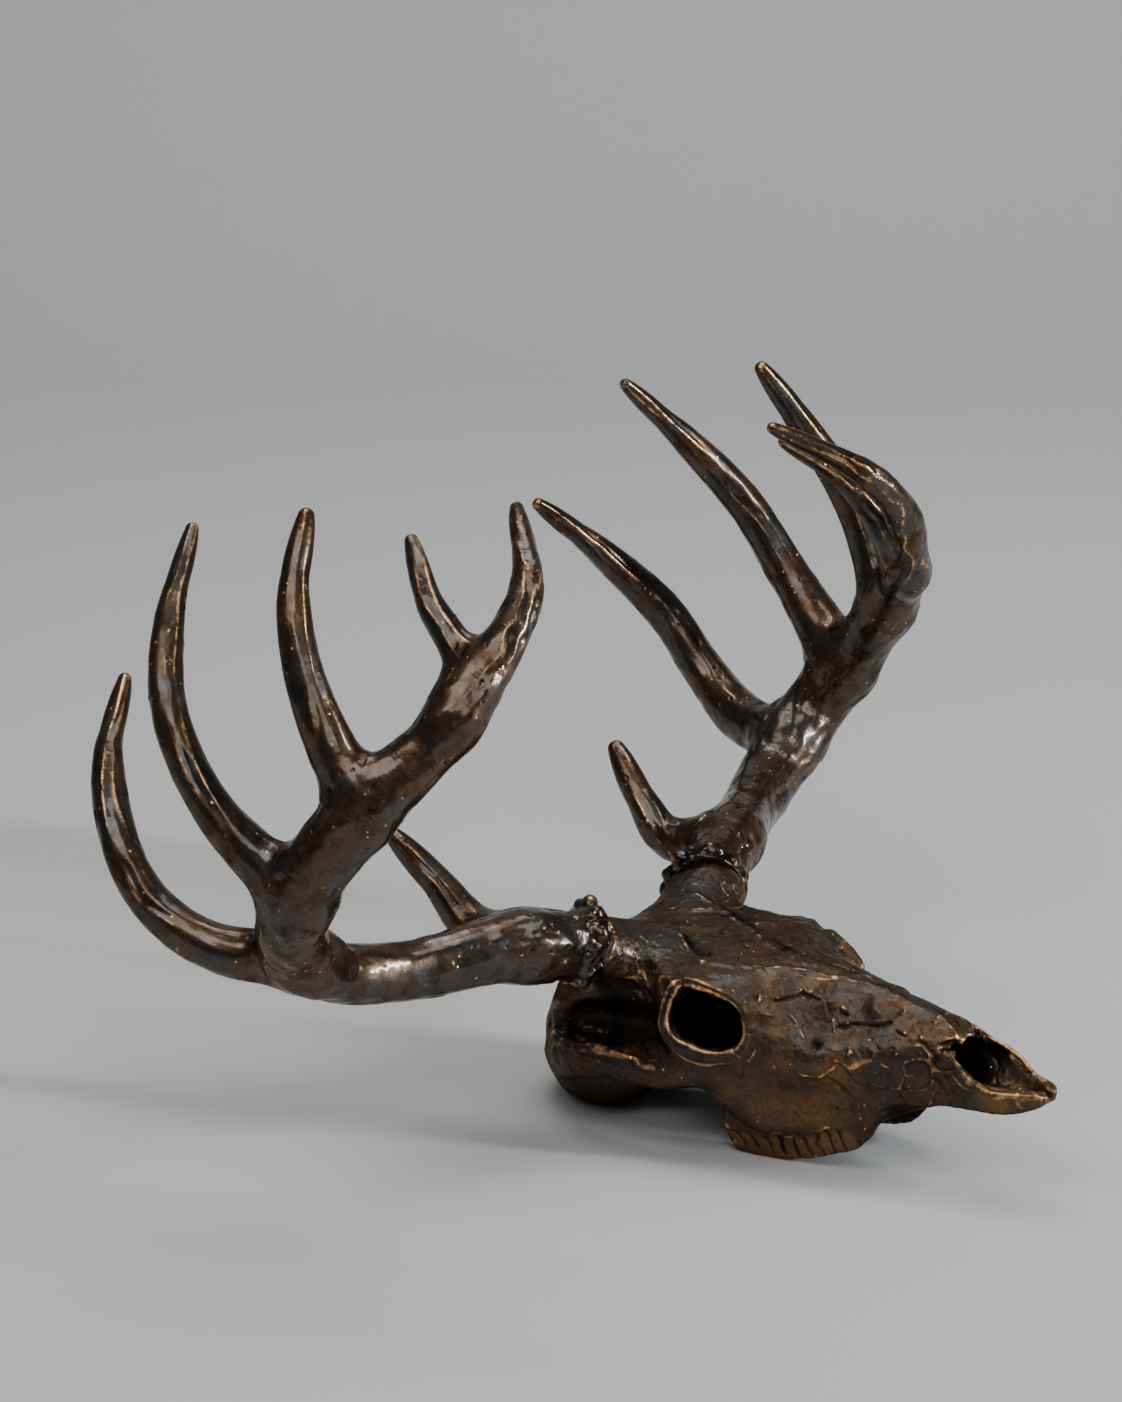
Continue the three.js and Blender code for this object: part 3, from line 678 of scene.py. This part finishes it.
def sculpt_skull():
    field = Field((-66, -80, -2.4), (233, 80, 118), SKULL_STEP)
    field.distance = core_distance(field).astype(np.float32)

    def limb(points, side, blend, margin=10, flatness=1.0, per_span=8, remove=False):
        path = outward(spline(points, per_span) if per_span else points, side)
        (field.carve if remove else field.join)(*limb_window(field, path, margin, flatness), blend)

    def ball(place, radii, side, blend, remove=False):
        window = ball_window(field, mirrored(place, side), radii)
        (field.carve if remove else field.join)(*window, blend)

    for side in (LEFT, RIGHT):
        limb(PEDICLE, side, blend=9.0, margin=14, flatness=PEDICLE_FLATNESS)
        ball(*BULGE, side, blend=7.0)
        limb(LOBE, side, blend=8.0)
        ball(*CONDYLE, side, blend=3.0)
        limb(CHEEK_HOLLOW, side, blend=8.0, margin=12, remove=True)
        for fossa in FOSSAE:
            ball(*fossa, side, blend=4.0, remove=True)
        limb(FOSSA_TROUGH, side, blend=4.0, remove=True)
        limb(ARCH, side, blend=3.5, flatness=ARCH_FLATNESS)
        limb(ARCH_CREST, side, blend=2.5)
        limb(NAPE_CREST, side, blend=4.0)
        field.join(*tooth_window(field, side), blend=4.0)
        if side == LEFT:
            limb(LEFT_BROW, side, blend=4.0)
        cuts, rim, hollow = socket_window(field, side)
        field.join(cuts, rim, blend=5.0)
        field.carve(cuts, hollow, blend=1.5)
    field.carve(*nasal_window(field), blend=1.6)
    limb(BLADE_CUT, RIGHT, blend=1.0, margin=6, per_span=6, remove=True)
    for side in (LEFT, RIGHT):
        notch = NASAL_NOTCH if side == RIGHT else NASAL_NOTCH[1:]
        limb(notch, side, blend=1.0, margin=4, per_span=6, remove=True)
        limb(BLADE_BEADS[side], side, blend=1.6, margin=6, per_span=6)
    limb(MUZZLE_SLOT, LEFT, blend=1.5, margin=4, per_span=None, remove=True)
    limb(FORAMEN, LEFT, blend=4.0, margin=8, per_span=None, remove=True)
    field.distance = np.maximum(field.distance, -field.axes[2])
    return field


def drawn_lines(table, own, side):
    """The height, width and distance of each line of a table that this side has."""
    for name, (tall, width, line) in table.items():
        if side == RIGHT or name not in RIGHT_ONLY:
            yield tall, width, line_distance(own, line, 4 * width + 2)


def draw_seams(surface, own, side):
    """The raised and sunken seams of one side, and the edges that are rubbed to gold."""
    broken = np.clip(0.7 + 0.9 * lattice(surface.points, 5.0, 21), 0.1, 1.1)
    for tall, width, distance in drawn_lines(SEAMS, own, side):
        surface.height += tall * bell(distance, width) * broken
        surface.wear += np.clip(1.4 - 0.6 * width, 0.25, 0.9) * bell(distance, 0.6) * broken
    gilded = unit(0.8 + 0.6 * lattice(surface.points, 3.0, 23)) * (surface.points[:, 1] * side > 0)
    surface.wear += 1.1 * bell(line_distance(own, BLADE_BEADS[side], 4), 2.0) * gilded
    surface.wear += bell(line_distance(own, ARCH_EDGE, 6), 1.3) * broken
    for deep, width, distance in drawn_lines(CREASES, own, side):
        share = bell(distance, width)
        surface.height -= deep * share
        surface.cavity += share


def draw_spots(surface, own):
    """Domes, dents, brown gold patches, and the net of small holes by the pedicle."""

    def near(place, radius):
        return bell(lengths(own - place), radius)

    for place, radius, tall in DOMES:
        surface.height += tall * near(place, radius)
    for place, radius, deep in DENTS:
        share = near(place, radius)
        surface.height -= deep * share
        surface.cavity += 0.5 * share
    for place, radius in GOLDEN:
        surface.tone += 0.4 * near(place, radius)
    cell = NET["cell"]
    netted = unit(1.3 - lengths(own - NET["at"]) / NET["radius"])
    gap, _ = scatter(surface.points, cell, 31)
    hole = unit(1 - gap / (NET["hole"] * cell)) * netted
    surface.height -= NET["depth"] * hole
    surface.cavity += 1.2 * hole
    surface.wear += 1.5 * netted * np.clip(gap / cell - 0.5, 0, 0.3)


def draw_socket(surface, side):
    """The socket's two raised and rubbed lips, the groove between them, and the dark inside."""
    points = surface.points
    height, rho, reach, gap, ahead, above = socket_places(*points.T, side)
    broken = np.clip(0.7 + 0.7 * lattice(points, 4.0, 72), 0.15, 1)
    near = (np.abs(height) < 11) & (rho < reach + 12)
    ring = gap - 3.6 - (SOCKET["brow"] + 1.2) * above + 1.2 * ahead - 0.35 * lattice(points, 7.0, 71)
    inner = bell(gap - 0.7, 0.8)
    outer, groove = (bell(ring + shift, width) * unit(0.9 - 0.6 * ahead)
                     for shift, width in ((0, 0.8), (1.9, 0.9)))
    deep = (gap < 2.0) * (rho < reach + 4) * unit((-height - 4) / 5) * (height > -SOCKET["depth"] - 6)
    surface.height += (0.4 * inner + 0.5 * outer * broken - 0.4 * groove) * near
    surface.wear += 0.9 * (0.9 * inner + 0.5 * outer) * broken * near
    surface.wear *= 1 - deep
    surface.cavity += 1.6 * deep


def paint_shade(surface):
    """Painted shade inside the nasal opening, on faces that look downward, on the front slope of the
    tooth rows and between them.
    """
    (x, y, z), (nx, ny, nz) = surface.points.T, surface.normals().T
    hollow = np.array(NASAL_HOLLOW, float)
    half, high = (np.interp(x, hollow[:, 0], hollow[:, k]) for k in (1, 3))
    # Painted shade inside the nasal opening, darker further back.
    inside = (np.abs(y) < half) & (ny * y <= 0.1) & (x > 128) & (x < 222) & (z > 50)
    inside &= (z < high - 1.5) & ((x > 183) | (z < 74))
    surface.cavity += 1.4 * inside * unit((200 - x) / 16)
    # Painted shade on faces that look downward: all of them behind x 62, further forward only near the
    # midline.
    inner = unit((26 - np.abs(y)) / 5)
    beneath = np.where(x < 62, 1.0, inner) * (z < 60)
    surface.cavity += 1.1 * unit((-nz - 0.45) * 2.5) * beneath
    # Painted shade on the front slope of the tooth rows, which faces forward and down.
    recess = inner * unit((x - 138) / 6) * (x < 172) * (z < 40)
    surface.cavity += 1.2 * recess * unit((nx - nz - 0.5) * 3)
    # Painted shade on the inner faces of the tooth rows, which face each other.
    between = (np.abs(y) < 30) & (x > 66) & (x < 176) & (z < 44)
    surface.cavity += 1.2 * between * unit(-3 * ny * np.sign(y) - 0.4)


def draw_folds(surface):
    """Irregular creases with a rubbed fold beside them, here and there."""
    points = surface.points
    folds = lattice(wandered(points, 3.0, 8.0, 57), 11.0, 81)
    seldom = unit(0.1 + 1.4 * lattice(points, 19.0, 82)) * (points[:, 2] > 30)
    surface.height += (0.35 * bell(folds - 0.13, 0.07) - 0.5 * bell(folds, 0.06)) * seldom
    surface.cavity += 0.55 * bell(folds, 0.06) * seldom
    surface.wear += 0.35 * bell(folds - 0.13, 0.05) * seldom


def draw_teeth(surface):
    """The upright grooves between the ridges of the teeth."""
    points = surface.points
    x, _, z = points.T
    rear, front = TOOTH_ROW["rear"][0], TOOTH_ROW["front"][0]
    share = (x + TOOTH_GROOVES["slant"] * z - rear) / (front - rear)
    place = share * TOOTH_GROOVES["count"] + 0.35 * lattice(points, 6.0, 61)
    across = np.abs(place - np.round(place)) * (front - rear) / TOOTH_GROOVES["count"]
    gum = spline(SEAMS["gum_line"][2], 6)
    toothed = unit((np.interp(x, gum[:, 0], gum[:, 2]) - z) / 2) * (np.abs(share - 0.5) < 0.52)
    fade = unit((z - 1.5) / 4) * (0.6 + 0.4 * lattice(points, 9.0, 62))
    toothed *= z < 26
    grooves = bell(across, TOOTH_GROOVES["width"]) * fade * toothed**2
    surface.height -= TOOTH_GROOVES["depth"] * grooves
    surface.cavity += 1.2 * grooves
    surface.tone += 0.5 * toothed


def skull_relief(surface):
    points = surface.points
    for tall, size, seed, octaves in SKULL_SWELL:
        surface.height += tall * rough(points, size, seed, octaves)
    for side in (LEFT, RIGHT):
        own = wandered(wandered(points, 1.5, 9.0, 51) * (1, side, 1), 0.6, 3.5, 54)
        draw_seams(surface, own, side)
        # Painted shade in the trough between the arch and the braincase, fading out towards its top.
        trough = line_distance(own, FOSSA_TROUGH, 24)
        surface.cavity += 0.6 * unit(2.0 - trough / 11) * np.clip((53 - points[:, 2]) / 10, 0.05, 1)
        draw_spots(surface, own)
        draw_socket(surface, side)
    paint_shade(surface)
    draw_folds(surface)
    draw_teeth(surface)
    surface.strew("skull_pit", 41)
    surface.strew("skull_knob", 42)
    surface.push(unit(points[:, 2] - 0.3))
    surface.points[:, 2] = np.maximum(surface.points[:, 2], 0)


# ---- Antlers ---------------------------------------------


def limb_places(points, limbs):
    """For each point its offset from the nearest limb, the limb's direction, run, radius and length."""
    samples, directions, runs, totals = [], [], [], []
    for limb in limbs.values():
        fine = spline(limb, 2)
        step = np.gradient(fine[:, :3], axis=0)
        size = lengths(step)
        samples.append(fine)
        directions.append(directed(step))
        runs.append(np.cumsum(size))
        totals.append(np.full(len(fine), size.sum()))
    samples, directions = np.vstack(samples).astype(np.float32), np.vstack(directions)
    runs, totals = np.concatenate(runs), np.concatenate(totals)
    nearest = np.empty(len(points), int)
    for start in range(0, len(points), 20000):
        chunk = points[start:start + 20000].astype(np.float32)
        gap = np.sqrt(((chunk[:, None] - samples[None, :, :3]) ** 2).sum(axis=2)) - samples[None, :, 3]
        nearest[start:start + 20000] = gap.argmin(axis=1)
    offset = points - samples[nearest, :3]
    axis = directions[nearest]
    along = (offset * axis).sum(axis=1)
    offset = offset - along[:, None] * axis
    return offset, axis, runs[nearest] + along, samples[nearest, 3], totals[nearest]


def burr_frame(side):
    axis = mirrored(BURR["axis"], side)
    return mirrored(BURR["at"], side), axis / np.linalg.norm(axis)


def draw_keels(surface, places, side):
    """Fine worn ridges along the tines, each with a shallow trough beside it."""
    offset, axis, run, radius, _ = places
    spoke = directed(offset)
    tined = unit((12.5 - radius) / 3)
    for number, (facing, tall, breadth) in enumerate(KEELS):
        across = directed(np.array(facing) - axis * (axis @ facing)[:, None])
        third = np.cross(axis, across)
        turn = np.arctan2((spoke * third).sum(axis=1), (spoke * across).sum(axis=1))
        turn += 0.40 * lattice(axis * run[:, None] / 38 + number * 7.3, 1.0, 113 + side)
        kept = unit(0.55 + 1.1 * lattice(surface.points, 17.0, 115 + number)) * tined
        beside = bell(turn * radius - 2.6, 1.5) * kept
        surface.height += tall * bell(turn * radius, breadth) * kept - 0.45 * beside
        surface.wear += 0.9 * bell(turn * radius, 0.6 * breadth) * kept
        surface.cavity += 0.3 * beside


def draw_burr(surface, side):
    """The burr's beads and the rough foot of the beam; returns the height over the burr's plane."""
    points = surface.points
    centre, crown = burr_frame(side)
    rise = (points - centre) @ crown
    spread = lengths(points - centre - rise[:, None] * crown)
    ring = bell(rise - 3.5, 6.5) * unit((spread - 14) / 4)
    foot = unit(1.2 - np.abs(rise - 6) / 42) * (spread < 34)
    gap, size = scatter(points, BEADS["spacing"], 121 + side)
    beads = unit(1 - (gap / BEADS["radius"]) ** 2) * (0.5 + 0.9 * size)
    surface.height += BEADS["height"] * ring * (beads - 0.5)
    surface.height += foot * (1.2 * rough(points, 12.0, 127 + side) + 0.9 * beads * unit(1 - rise / 40))
    surface.cavity += ring * (0.4 + 3.6 * unit(0.25 - beads))
    surface.strew("burr_knob", 123 + side, kept=ring)
    surface.strew("burr_hole", 125 + side, kept=foot)
    return rise


def antler_relief(surface, side):
    points = surface.points
    places = limb_places(points, antler_limbs(side))
    offset, axis, run, radius, length = places
    drawn = axis * run[:, None]
    facets, fine, veins = (
        lattice(offset / broad + drawn / long, 1.0, seed + side) for broad, long, seed in ANTLER_GRAIN)
    vein = bell(veins, 0.07) * unit(-0.35 + 1.8 * lattice(points, 24.0, 107 + side))
    swell = 0.85 * facets + 0.35 * fine + 0.15 * vein + 0.3 * rough(points, 9.0, 109, 2)
    surface.height += swell * np.clip(radius / 14, 0.3, 1.2)
    surface.wear += 0.3 * vein
    surface.polish += 1
    surface.cavity += 0.8 * unit(-fine - 0.45)
    draw_keels(surface, places, side)
    surface.strew("antler_pit", 131 + side, offset + drawn / 2.2)
    surface.strew("antler_knob", 133 + side)
    rise = draw_burr(surface, side)
    surface.push(np.where(rise < -1.5, 0, np.clip((length - run) / 30, 0.2, 1)))


def sculpt_antler(side):
    limbs = antler_limbs(side)
    points = np.vstack(list(limbs.values()))
    reach = points[:, 3:4] + 8
    field = Field((points[:, :3] - reach).min(axis=0), (points[:, :3] + reach).max(axis=0), ANTLER_STEP)
    for name, limb in limbs.items():
        field.join(*limb_window(field, limb, CROTCH_WEB), 1.0 if name == "beam" else CROTCH_WEB)
    centre, axis = burr_frame(side)
    cuts, grid = field.window(centre - 40, centre + 40)
    x, y, z = (g - c for g, c in zip(grid, centre))
    height = x * axis[0] + y * axis[1] + z * axis[2]
    radial = np.sqrt(x**2 + y**2 + z**2 - height**2)
    middle, half = (BURR["from"] + BURR["to"]) / 2, (BURR["to"] - BURR["from"]) / 2
    inner = BURR["radius"] - half + 1.5
    ring = np.sqrt(np.maximum(radial - inner, 0) ** 2 + (height - middle) ** 2) - half
    field.join(cuts, ring, 4.0)
    field.distance[cuts] = np.maximum(field.distance[cuts], BURR["from"] - height)
    return field


# ---- Objects ---------------------------------------------


def make_object(name, surface, replaced, material):
    points, quads = surface.points - (CENTRE_X, 0, 0), surface.quads
    mesh = bpy.data.meshes.new(name)
    mesh.vertices.add(len(points))
    mesh.vertices.foreach_set("co", (points * MM).ravel())
    mesh.loops.add(quads.size)
    mesh.loops.foreach_set("vertex_index", quads.ravel())
    mesh.polygons.add(len(quads))
    mesh.polygons.foreach_set("loop_start", np.arange(0, quads.size, 4))
    mesh.polygons.foreach_set("loop_total", np.full(len(quads), 4))
    mesh.update(calc_edges=True)
    mesh.shade_smooth()
    mesh.materials.append(material)
    for label in Surface.SHOWN:
        layer = mesh.attributes.new(label, "FLOAT", "POINT")
        layer.data.foreach_set("value", getattr(surface, label).astype(np.float32))
    piece = bpy.data.objects.new(name, mesh)
    bpy.context.scene.collection.objects.link(piece)
    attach(piece, "root")
    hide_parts(*replaced)


# The patina's colours; pitch is also the colour of the painted shade.
BRONZE = {
    "umber": (0.078, 0.046, 0.024, 1), "slate": (0.050, 0.046, 0.042, 1),
    "ochre": (0.185, 0.098, 0.038, 1), "gold": (0.62, 0.34, 0.15, 1), "pitch": (0.006, 0.004, 0.003, 1),
    "sheen": (0.50, 0.42, 0.34, 1),
}
# Noise over the bronze: size in metres, detail and roughness.
NOISE = {
    "patches": (0.030, 4.0, 0.55), "warmth": (0.017, 5.0, 0.55), "grain": (0.0018, 4.0, 0.6),
    "rubbed": (0.004, 3.0, 0.55), "dull": (0.009, 4.0, 0.55), "coat": (0.010, 3.0, 0.55),
    "relief": (0.0034, 5.0, 0.6),
}
# The values at which each effect begins and is full.
RAMPS = {
    "patches": (0.42, 0.60), "warmth": (0.55, 0.95), "grain": (0.35, 0.75), "rubbed": (0.30, 0.62),
    "gold": (0.12, 0.62), "coat": (0.32, 0.54), "dots": (0.11, 0.06), "holes": (0.10, 0.05),
}
# Small gold dots and dark holes: spacing in metres, colour channel that picks them, and its least value.
SPECKS = {"dots": (0.0065, 0, 0.5), "holes": (0.0061, 1, 0.72)}
GLOSS = {"metal": 0.85, "roughness": 0.22, "dull": 0.50, "rubbed": 0.06, "polish": 0.15,
         "coat": 0.23, "polish_coat": 0.47, "coat_roughness": 0.11}
BUMP = {"grain": 0.35, "specks": 1.4, "relief": 1.6, "strength": 0.65, "polish": 0.42, "depth": 0.0005}


class Nodes:
    """A short hand for building the bronze's node tree."""

    def __init__(self, tree):
        self.tree = tree
        self.place = self.add("ShaderNodeTexCoord").outputs["Object"]

    def add(self, kind, settings=None, **inputs):
        node = self.tree.nodes.new(kind)
        for key, value in (settings or {}).items():
            setattr(node, key, value)
        for key, value in inputs.items():
            self.feed(node, key.replace("_", " "), value)
        return node

    def feed(self, node, key, value):
        if isinstance(value, bpy.types.NodeSocket):
            self.tree.links.new(value, node.inputs[key])
        else:
            node.inputs[key].default_value = value

    def math(self, operation, first, second):
        node = self.add("ShaderNodeMath", {"operation": operation})
        self.feed(node, 0, first)
        self.feed(node, 1, second)
        return node.outputs[0]

    def times(self, first, second):
        return self.math("MULTIPLY", first, second)

    def plus(self, first, second):
        return self.math("ADD", first, second)

    def minus(self, first, second):
        return self.math("SUBTRACT", first, second)

    def mix(self, share, first, second):
        node = self.add("ShaderNodeMix", {"data_type": "RGBA"})
        for key, value in ((0, share), (6, first), (7, second)):
            self.feed(node, key, value)
        return node.outputs[2]

    def ramp(self, name, value):
        node = self.add("ShaderNodeMapRange", {"clamp": True})
        for key, entry in enumerate((value, *RAMPS[name], 0.0, 1.0)):
            self.feed(node, key, entry)
        return node.outputs[0]

    def noise(self, name):
        size, detail, roughness = NOISE[name]
        return self.add("ShaderNodeTexNoise", Vector=self.place, Scale=1 / size, Detail=detail,
                        Roughness=roughness).outputs["Fac"]

    def specks(self, name):
        size, channel, least = SPECKS[name]
        spots = self.add("ShaderNodeTexVoronoi", Vector=self.place, Scale=1 / size)
        colour = self.add("ShaderNodeSeparateColor", Color=spots.outputs["Color"])
        chosen = self.math("GREATER_THAN", colour.outputs[channel], least)
        return self.times(self.ramp(name, spots.outputs["Distance"]), chosen)

    def attribute(self, name):
        return self.add("ShaderNodeAttribute", {"attribute_name": name}).outputs["Fac"]


def new_material(name):
    """A material of this name, with its node tree and its shader."""
    material = bpy.data.materials.new(name)
    material.use_nodes = True
    return material, material.node_tree, material.node_tree.nodes["Principled BSDF"]


def bronze_material():
    material, tree, shader = new_material("bronze")
    nodes = Nodes(tree)
    times, plus, minus, mix = nodes.times, nodes.plus, nodes.minus, nodes.mix
    wear, cavity, tone, polish = (nodes.attribute(name) for name in Surface.SHOWN)
    grain, dot, hole = nodes.noise("grain"), nodes.specks("dots"), nodes.specks("holes")

    warmth = nodes.ramp("warmth", plus(nodes.noise("warmth"), tone))
    base = mix(nodes.ramp("patches", nodes.noise("patches")), BRONZE["umber"], BRONZE["slate"])
    base = mix(warmth, base, BRONZE["ochre"])
    base = mix(nodes.ramp("grain", grain), base, mix(0.5, base, BRONZE["pitch"]))
    rubbed = nodes.ramp("gold", times(wear, nodes.ramp("rubbed", nodes.noise("rubbed"))))
    rubbed = nodes.math("MAXIMUM", rubbed, dot)
    # Cavity and holes darken the colour towards pitch: the patina's dark in holes and creases, and
    # painted shade where the cavity layer holds it.
    dirt_and_shade = nodes.math("MAXIMUM", cavity, hole)
    nodes.feed(shader, "Base Color", mix(rubbed, mix(dirt_and_shade, base, BRONZE["pitch"]), BRONZE["gold"]))

    dull = plus(times(nodes.noise("dull"), GLOSS["dull"]), GLOSS["roughness"])
    dull = minus(dull, times(polish, GLOSS["polish"]))
    nodes.feed(shader, "Roughness", minus(dull, times(rubbed, GLOSS["rubbed"])))
    coated = plus(times(polish, GLOSS["polish_coat"]), GLOSS["coat"])
    nodes.feed(shader, "Coat Weight", times(nodes.ramp("coat", nodes.noise("coat")), coated))
    nodes.feed(shader, "Coat Roughness", GLOSS["coat_roughness"])
    nodes.feed(shader, "Metallic", GLOSS["metal"])
    nodes.feed(shader, "Specular Tint", BRONZE["sheen"])

    relief = plus(times(grain, BUMP["grain"]), times(minus(dot, hole), BUMP["specks"]))
    relief = plus(relief, times(nodes.noise("relief"), BUMP["relief"]))
    calm = minus(BUMP["strength"], times(polish, BUMP["polish"]))
    bump = nodes.add("ShaderNodeBump", Strength=calm, Distance=BUMP["depth"], Height=relief)
    nodes.feed(shader, "Normal", bump.outputs[0])
    return material


bronze = bronze_material()
node_names = list(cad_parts)
antler_words = ("burr", "beam", "tine")
skull_nodes = [name for name in node_names if not any(word in name for word in antler_words)]
skull = Surface(sculpt_skull())
skull_relief(skull)
skull.age()
make_object("bronze_skull", skull, skull_nodes, bronze)
for word, side in (("left", LEFT), ("right", RIGHT)):
    antler_nodes = [name for name in node_names if name not in skull_nodes and name.endswith(word)]
    antler = Surface(sculpt_antler(side))
    antler_relief(antler, side)
    antler.age()
    make_object(f"bronze_antler_{word}", antler, antler_nodes, bronze)

# ---- Stage, lights and camera ----------------------------

# The backdrop in metres: its near edge, the foot and radius of its curve, its top, half its width, and
# the way that it runs.
BACKDROP = {"near": -3.0, "foot": 1.6, "radius": 1.2, "top": 4.0, "half": 4.0,
            "away": (-0.582, 0.813, 0)}
FLOOR_GREY = (0.47, 0.47, 0.47)
WARM, COOL, WHITE = (1.0, 0.98, 0.95), (0.90, 0.96, 1.0), (1.0, 1.0, 1.0)
AIR_LIGHT = 0.10
# Softboxes: place, target, size, power and colour.
SOFTBOXES = {
    "top_softbox": ((-0.15, 0.35, 1.9), (0, 0, 0.1), (1.3, 1.0), 14, WARM),
    "front_softbox": ((1.3, -1.2, 1.5), (0.05, -0.1, 0.1), (1.0, 0.8), 8, WARM),
    "floor_softbox": ((0.0, -1.2, 1.9), (-0.1, -0.85, 0.0), (1.7, 1.0), 22, WARM),
    "strip_softbox": ((2.3, 0.95, 1.0), (0, 0, 0.15), (0.18, 1.7), 95, COOL),
    "wall_softbox": ((-1.0, 0.6, 2.6), (-1.5, 2.4, 1.3), (1.6, 0.8), 23, WHITE),
}
# The camera: angles in degrees, how far it stands from the point between the burrs, and how far that
# point lies right of and above the middle of the frame.
CAMERA = {"azimuth": 35.57, "elevation": 17.42, "distance": 2.078, "focal_px": 4156.0,
          "frame_px": 1402.0, "sensor": 36.0, "far": 30, "burr_height": 0.099,
          "offset_right": 0.04776, "offset_up": -0.10476}


def backdrop():
    """A seamless sweep: flat under the casting, and curving up far behind it."""
    foot, radius, half = BACKDROP["foot"], BACKDROP["radius"], BACKDROP["half"]
    curve = [(foot + radius * math.sin(turn), radius - radius * math.cos(turn))
             for turn in np.linspace(0.1, math.pi / 2, 14)]
    profile = [(BACKDROP["near"], 0.0), (foot, 0.0), *curve, (foot + radius, BACKDROP["top"])]
    away = Vector(BACKDROP["away"]).normalized()
    aside = Vector((away.y, -away.x, 0))
    points = [away * distance + aside * shift + Vector((0, 0, height))
              for distance, height in profile for shift in (-half, half)]
    faces = [(2 * k, 2 * k + 1, 2 * k + 3, 2 * k + 2) for k in range(len(profile) - 1)]
    mesh = bpy.data.meshes.new("backdrop")
    mesh.from_pydata(points, [], faces)
    mesh.shade_smooth()
    material, _, shader = new_material("backdrop_paper")
    paper = {"Base Color": (*FLOOR_GREY, 1), "Roughness": 0.85, "Specular IOR Level": 0.1}
    for key, value in paper.items():
        shader.inputs[key].default_value = value
    mesh.materials.append(material)
    sweep = bpy.data.objects.new("backdrop", mesh)
    bpy.context.scene.collection.objects.link(sweep)


def softbox(name, place, target, size, power, colour):
    light = bpy.data.lights.new(name, "AREA")
    light.shape = "RECTANGLE"
    light.size, light.size_y = size
    light.energy = power
    light.color = colour
    lamp = bpy.data.objects.new(name, light)
    lamp.location = place
    direction = Vector(target) - Vector(place)
    lamp.rotation_euler = direction.to_track_quat("-Z", "Y").to_euler()
    bpy.context.scene.collection.objects.link(lamp)


def look():
    world = bpy.data.worlds.new("studio")
    bpy.context.scene.world = world
    world.use_nodes = True
    air = world.node_tree.nodes["Background"].inputs
    air["Color"].default_value, air["Strength"].default_value = (*WARM, 1), AIR_LIGHT
    for name, settings in SOFTBOXES.items():
        softbox(name, *settings)


def aim_camera():
    azimuth, elevation = math.radians(CAMERA["azimuth"]), math.radians(CAMERA["elevation"])
    right = Vector((math.cos(azimuth), math.sin(azimuth), 0))
    back = Vector((math.sin(azimuth) * math.cos(elevation), -math.cos(azimuth) * math.cos(elevation),
                   math.sin(elevation)))
    up = back.cross(right)
    burrs = Vector((-CENTRE_X * MM, 0, CAMERA["burr_height"]))
    place = (burrs - right * CAMERA["offset_right"] - up * CAMERA["offset_up"]
             + back * CAMERA["distance"])
    lens = bpy.data.cameras.new("camera")
    lens.sensor_fit = "VERTICAL"
    lens.sensor_height = CAMERA["sensor"]
    lens.lens = CAMERA["focal_px"] / CAMERA["frame_px"] * CAMERA["sensor"]
    lens.clip_end = CAMERA["far"]
    camera = bpy.data.objects.new("camera", lens)
    camera.matrix_world = Matrix(
        [(right[k], up[k], back[k], place[k]) for k in range(3)] + [(0, 0, 0, 1)])
    bpy.context.scene.collection.objects.link(camera)
    bpy.context.scene.camera = camera


backdrop()
look()
aim_camera()
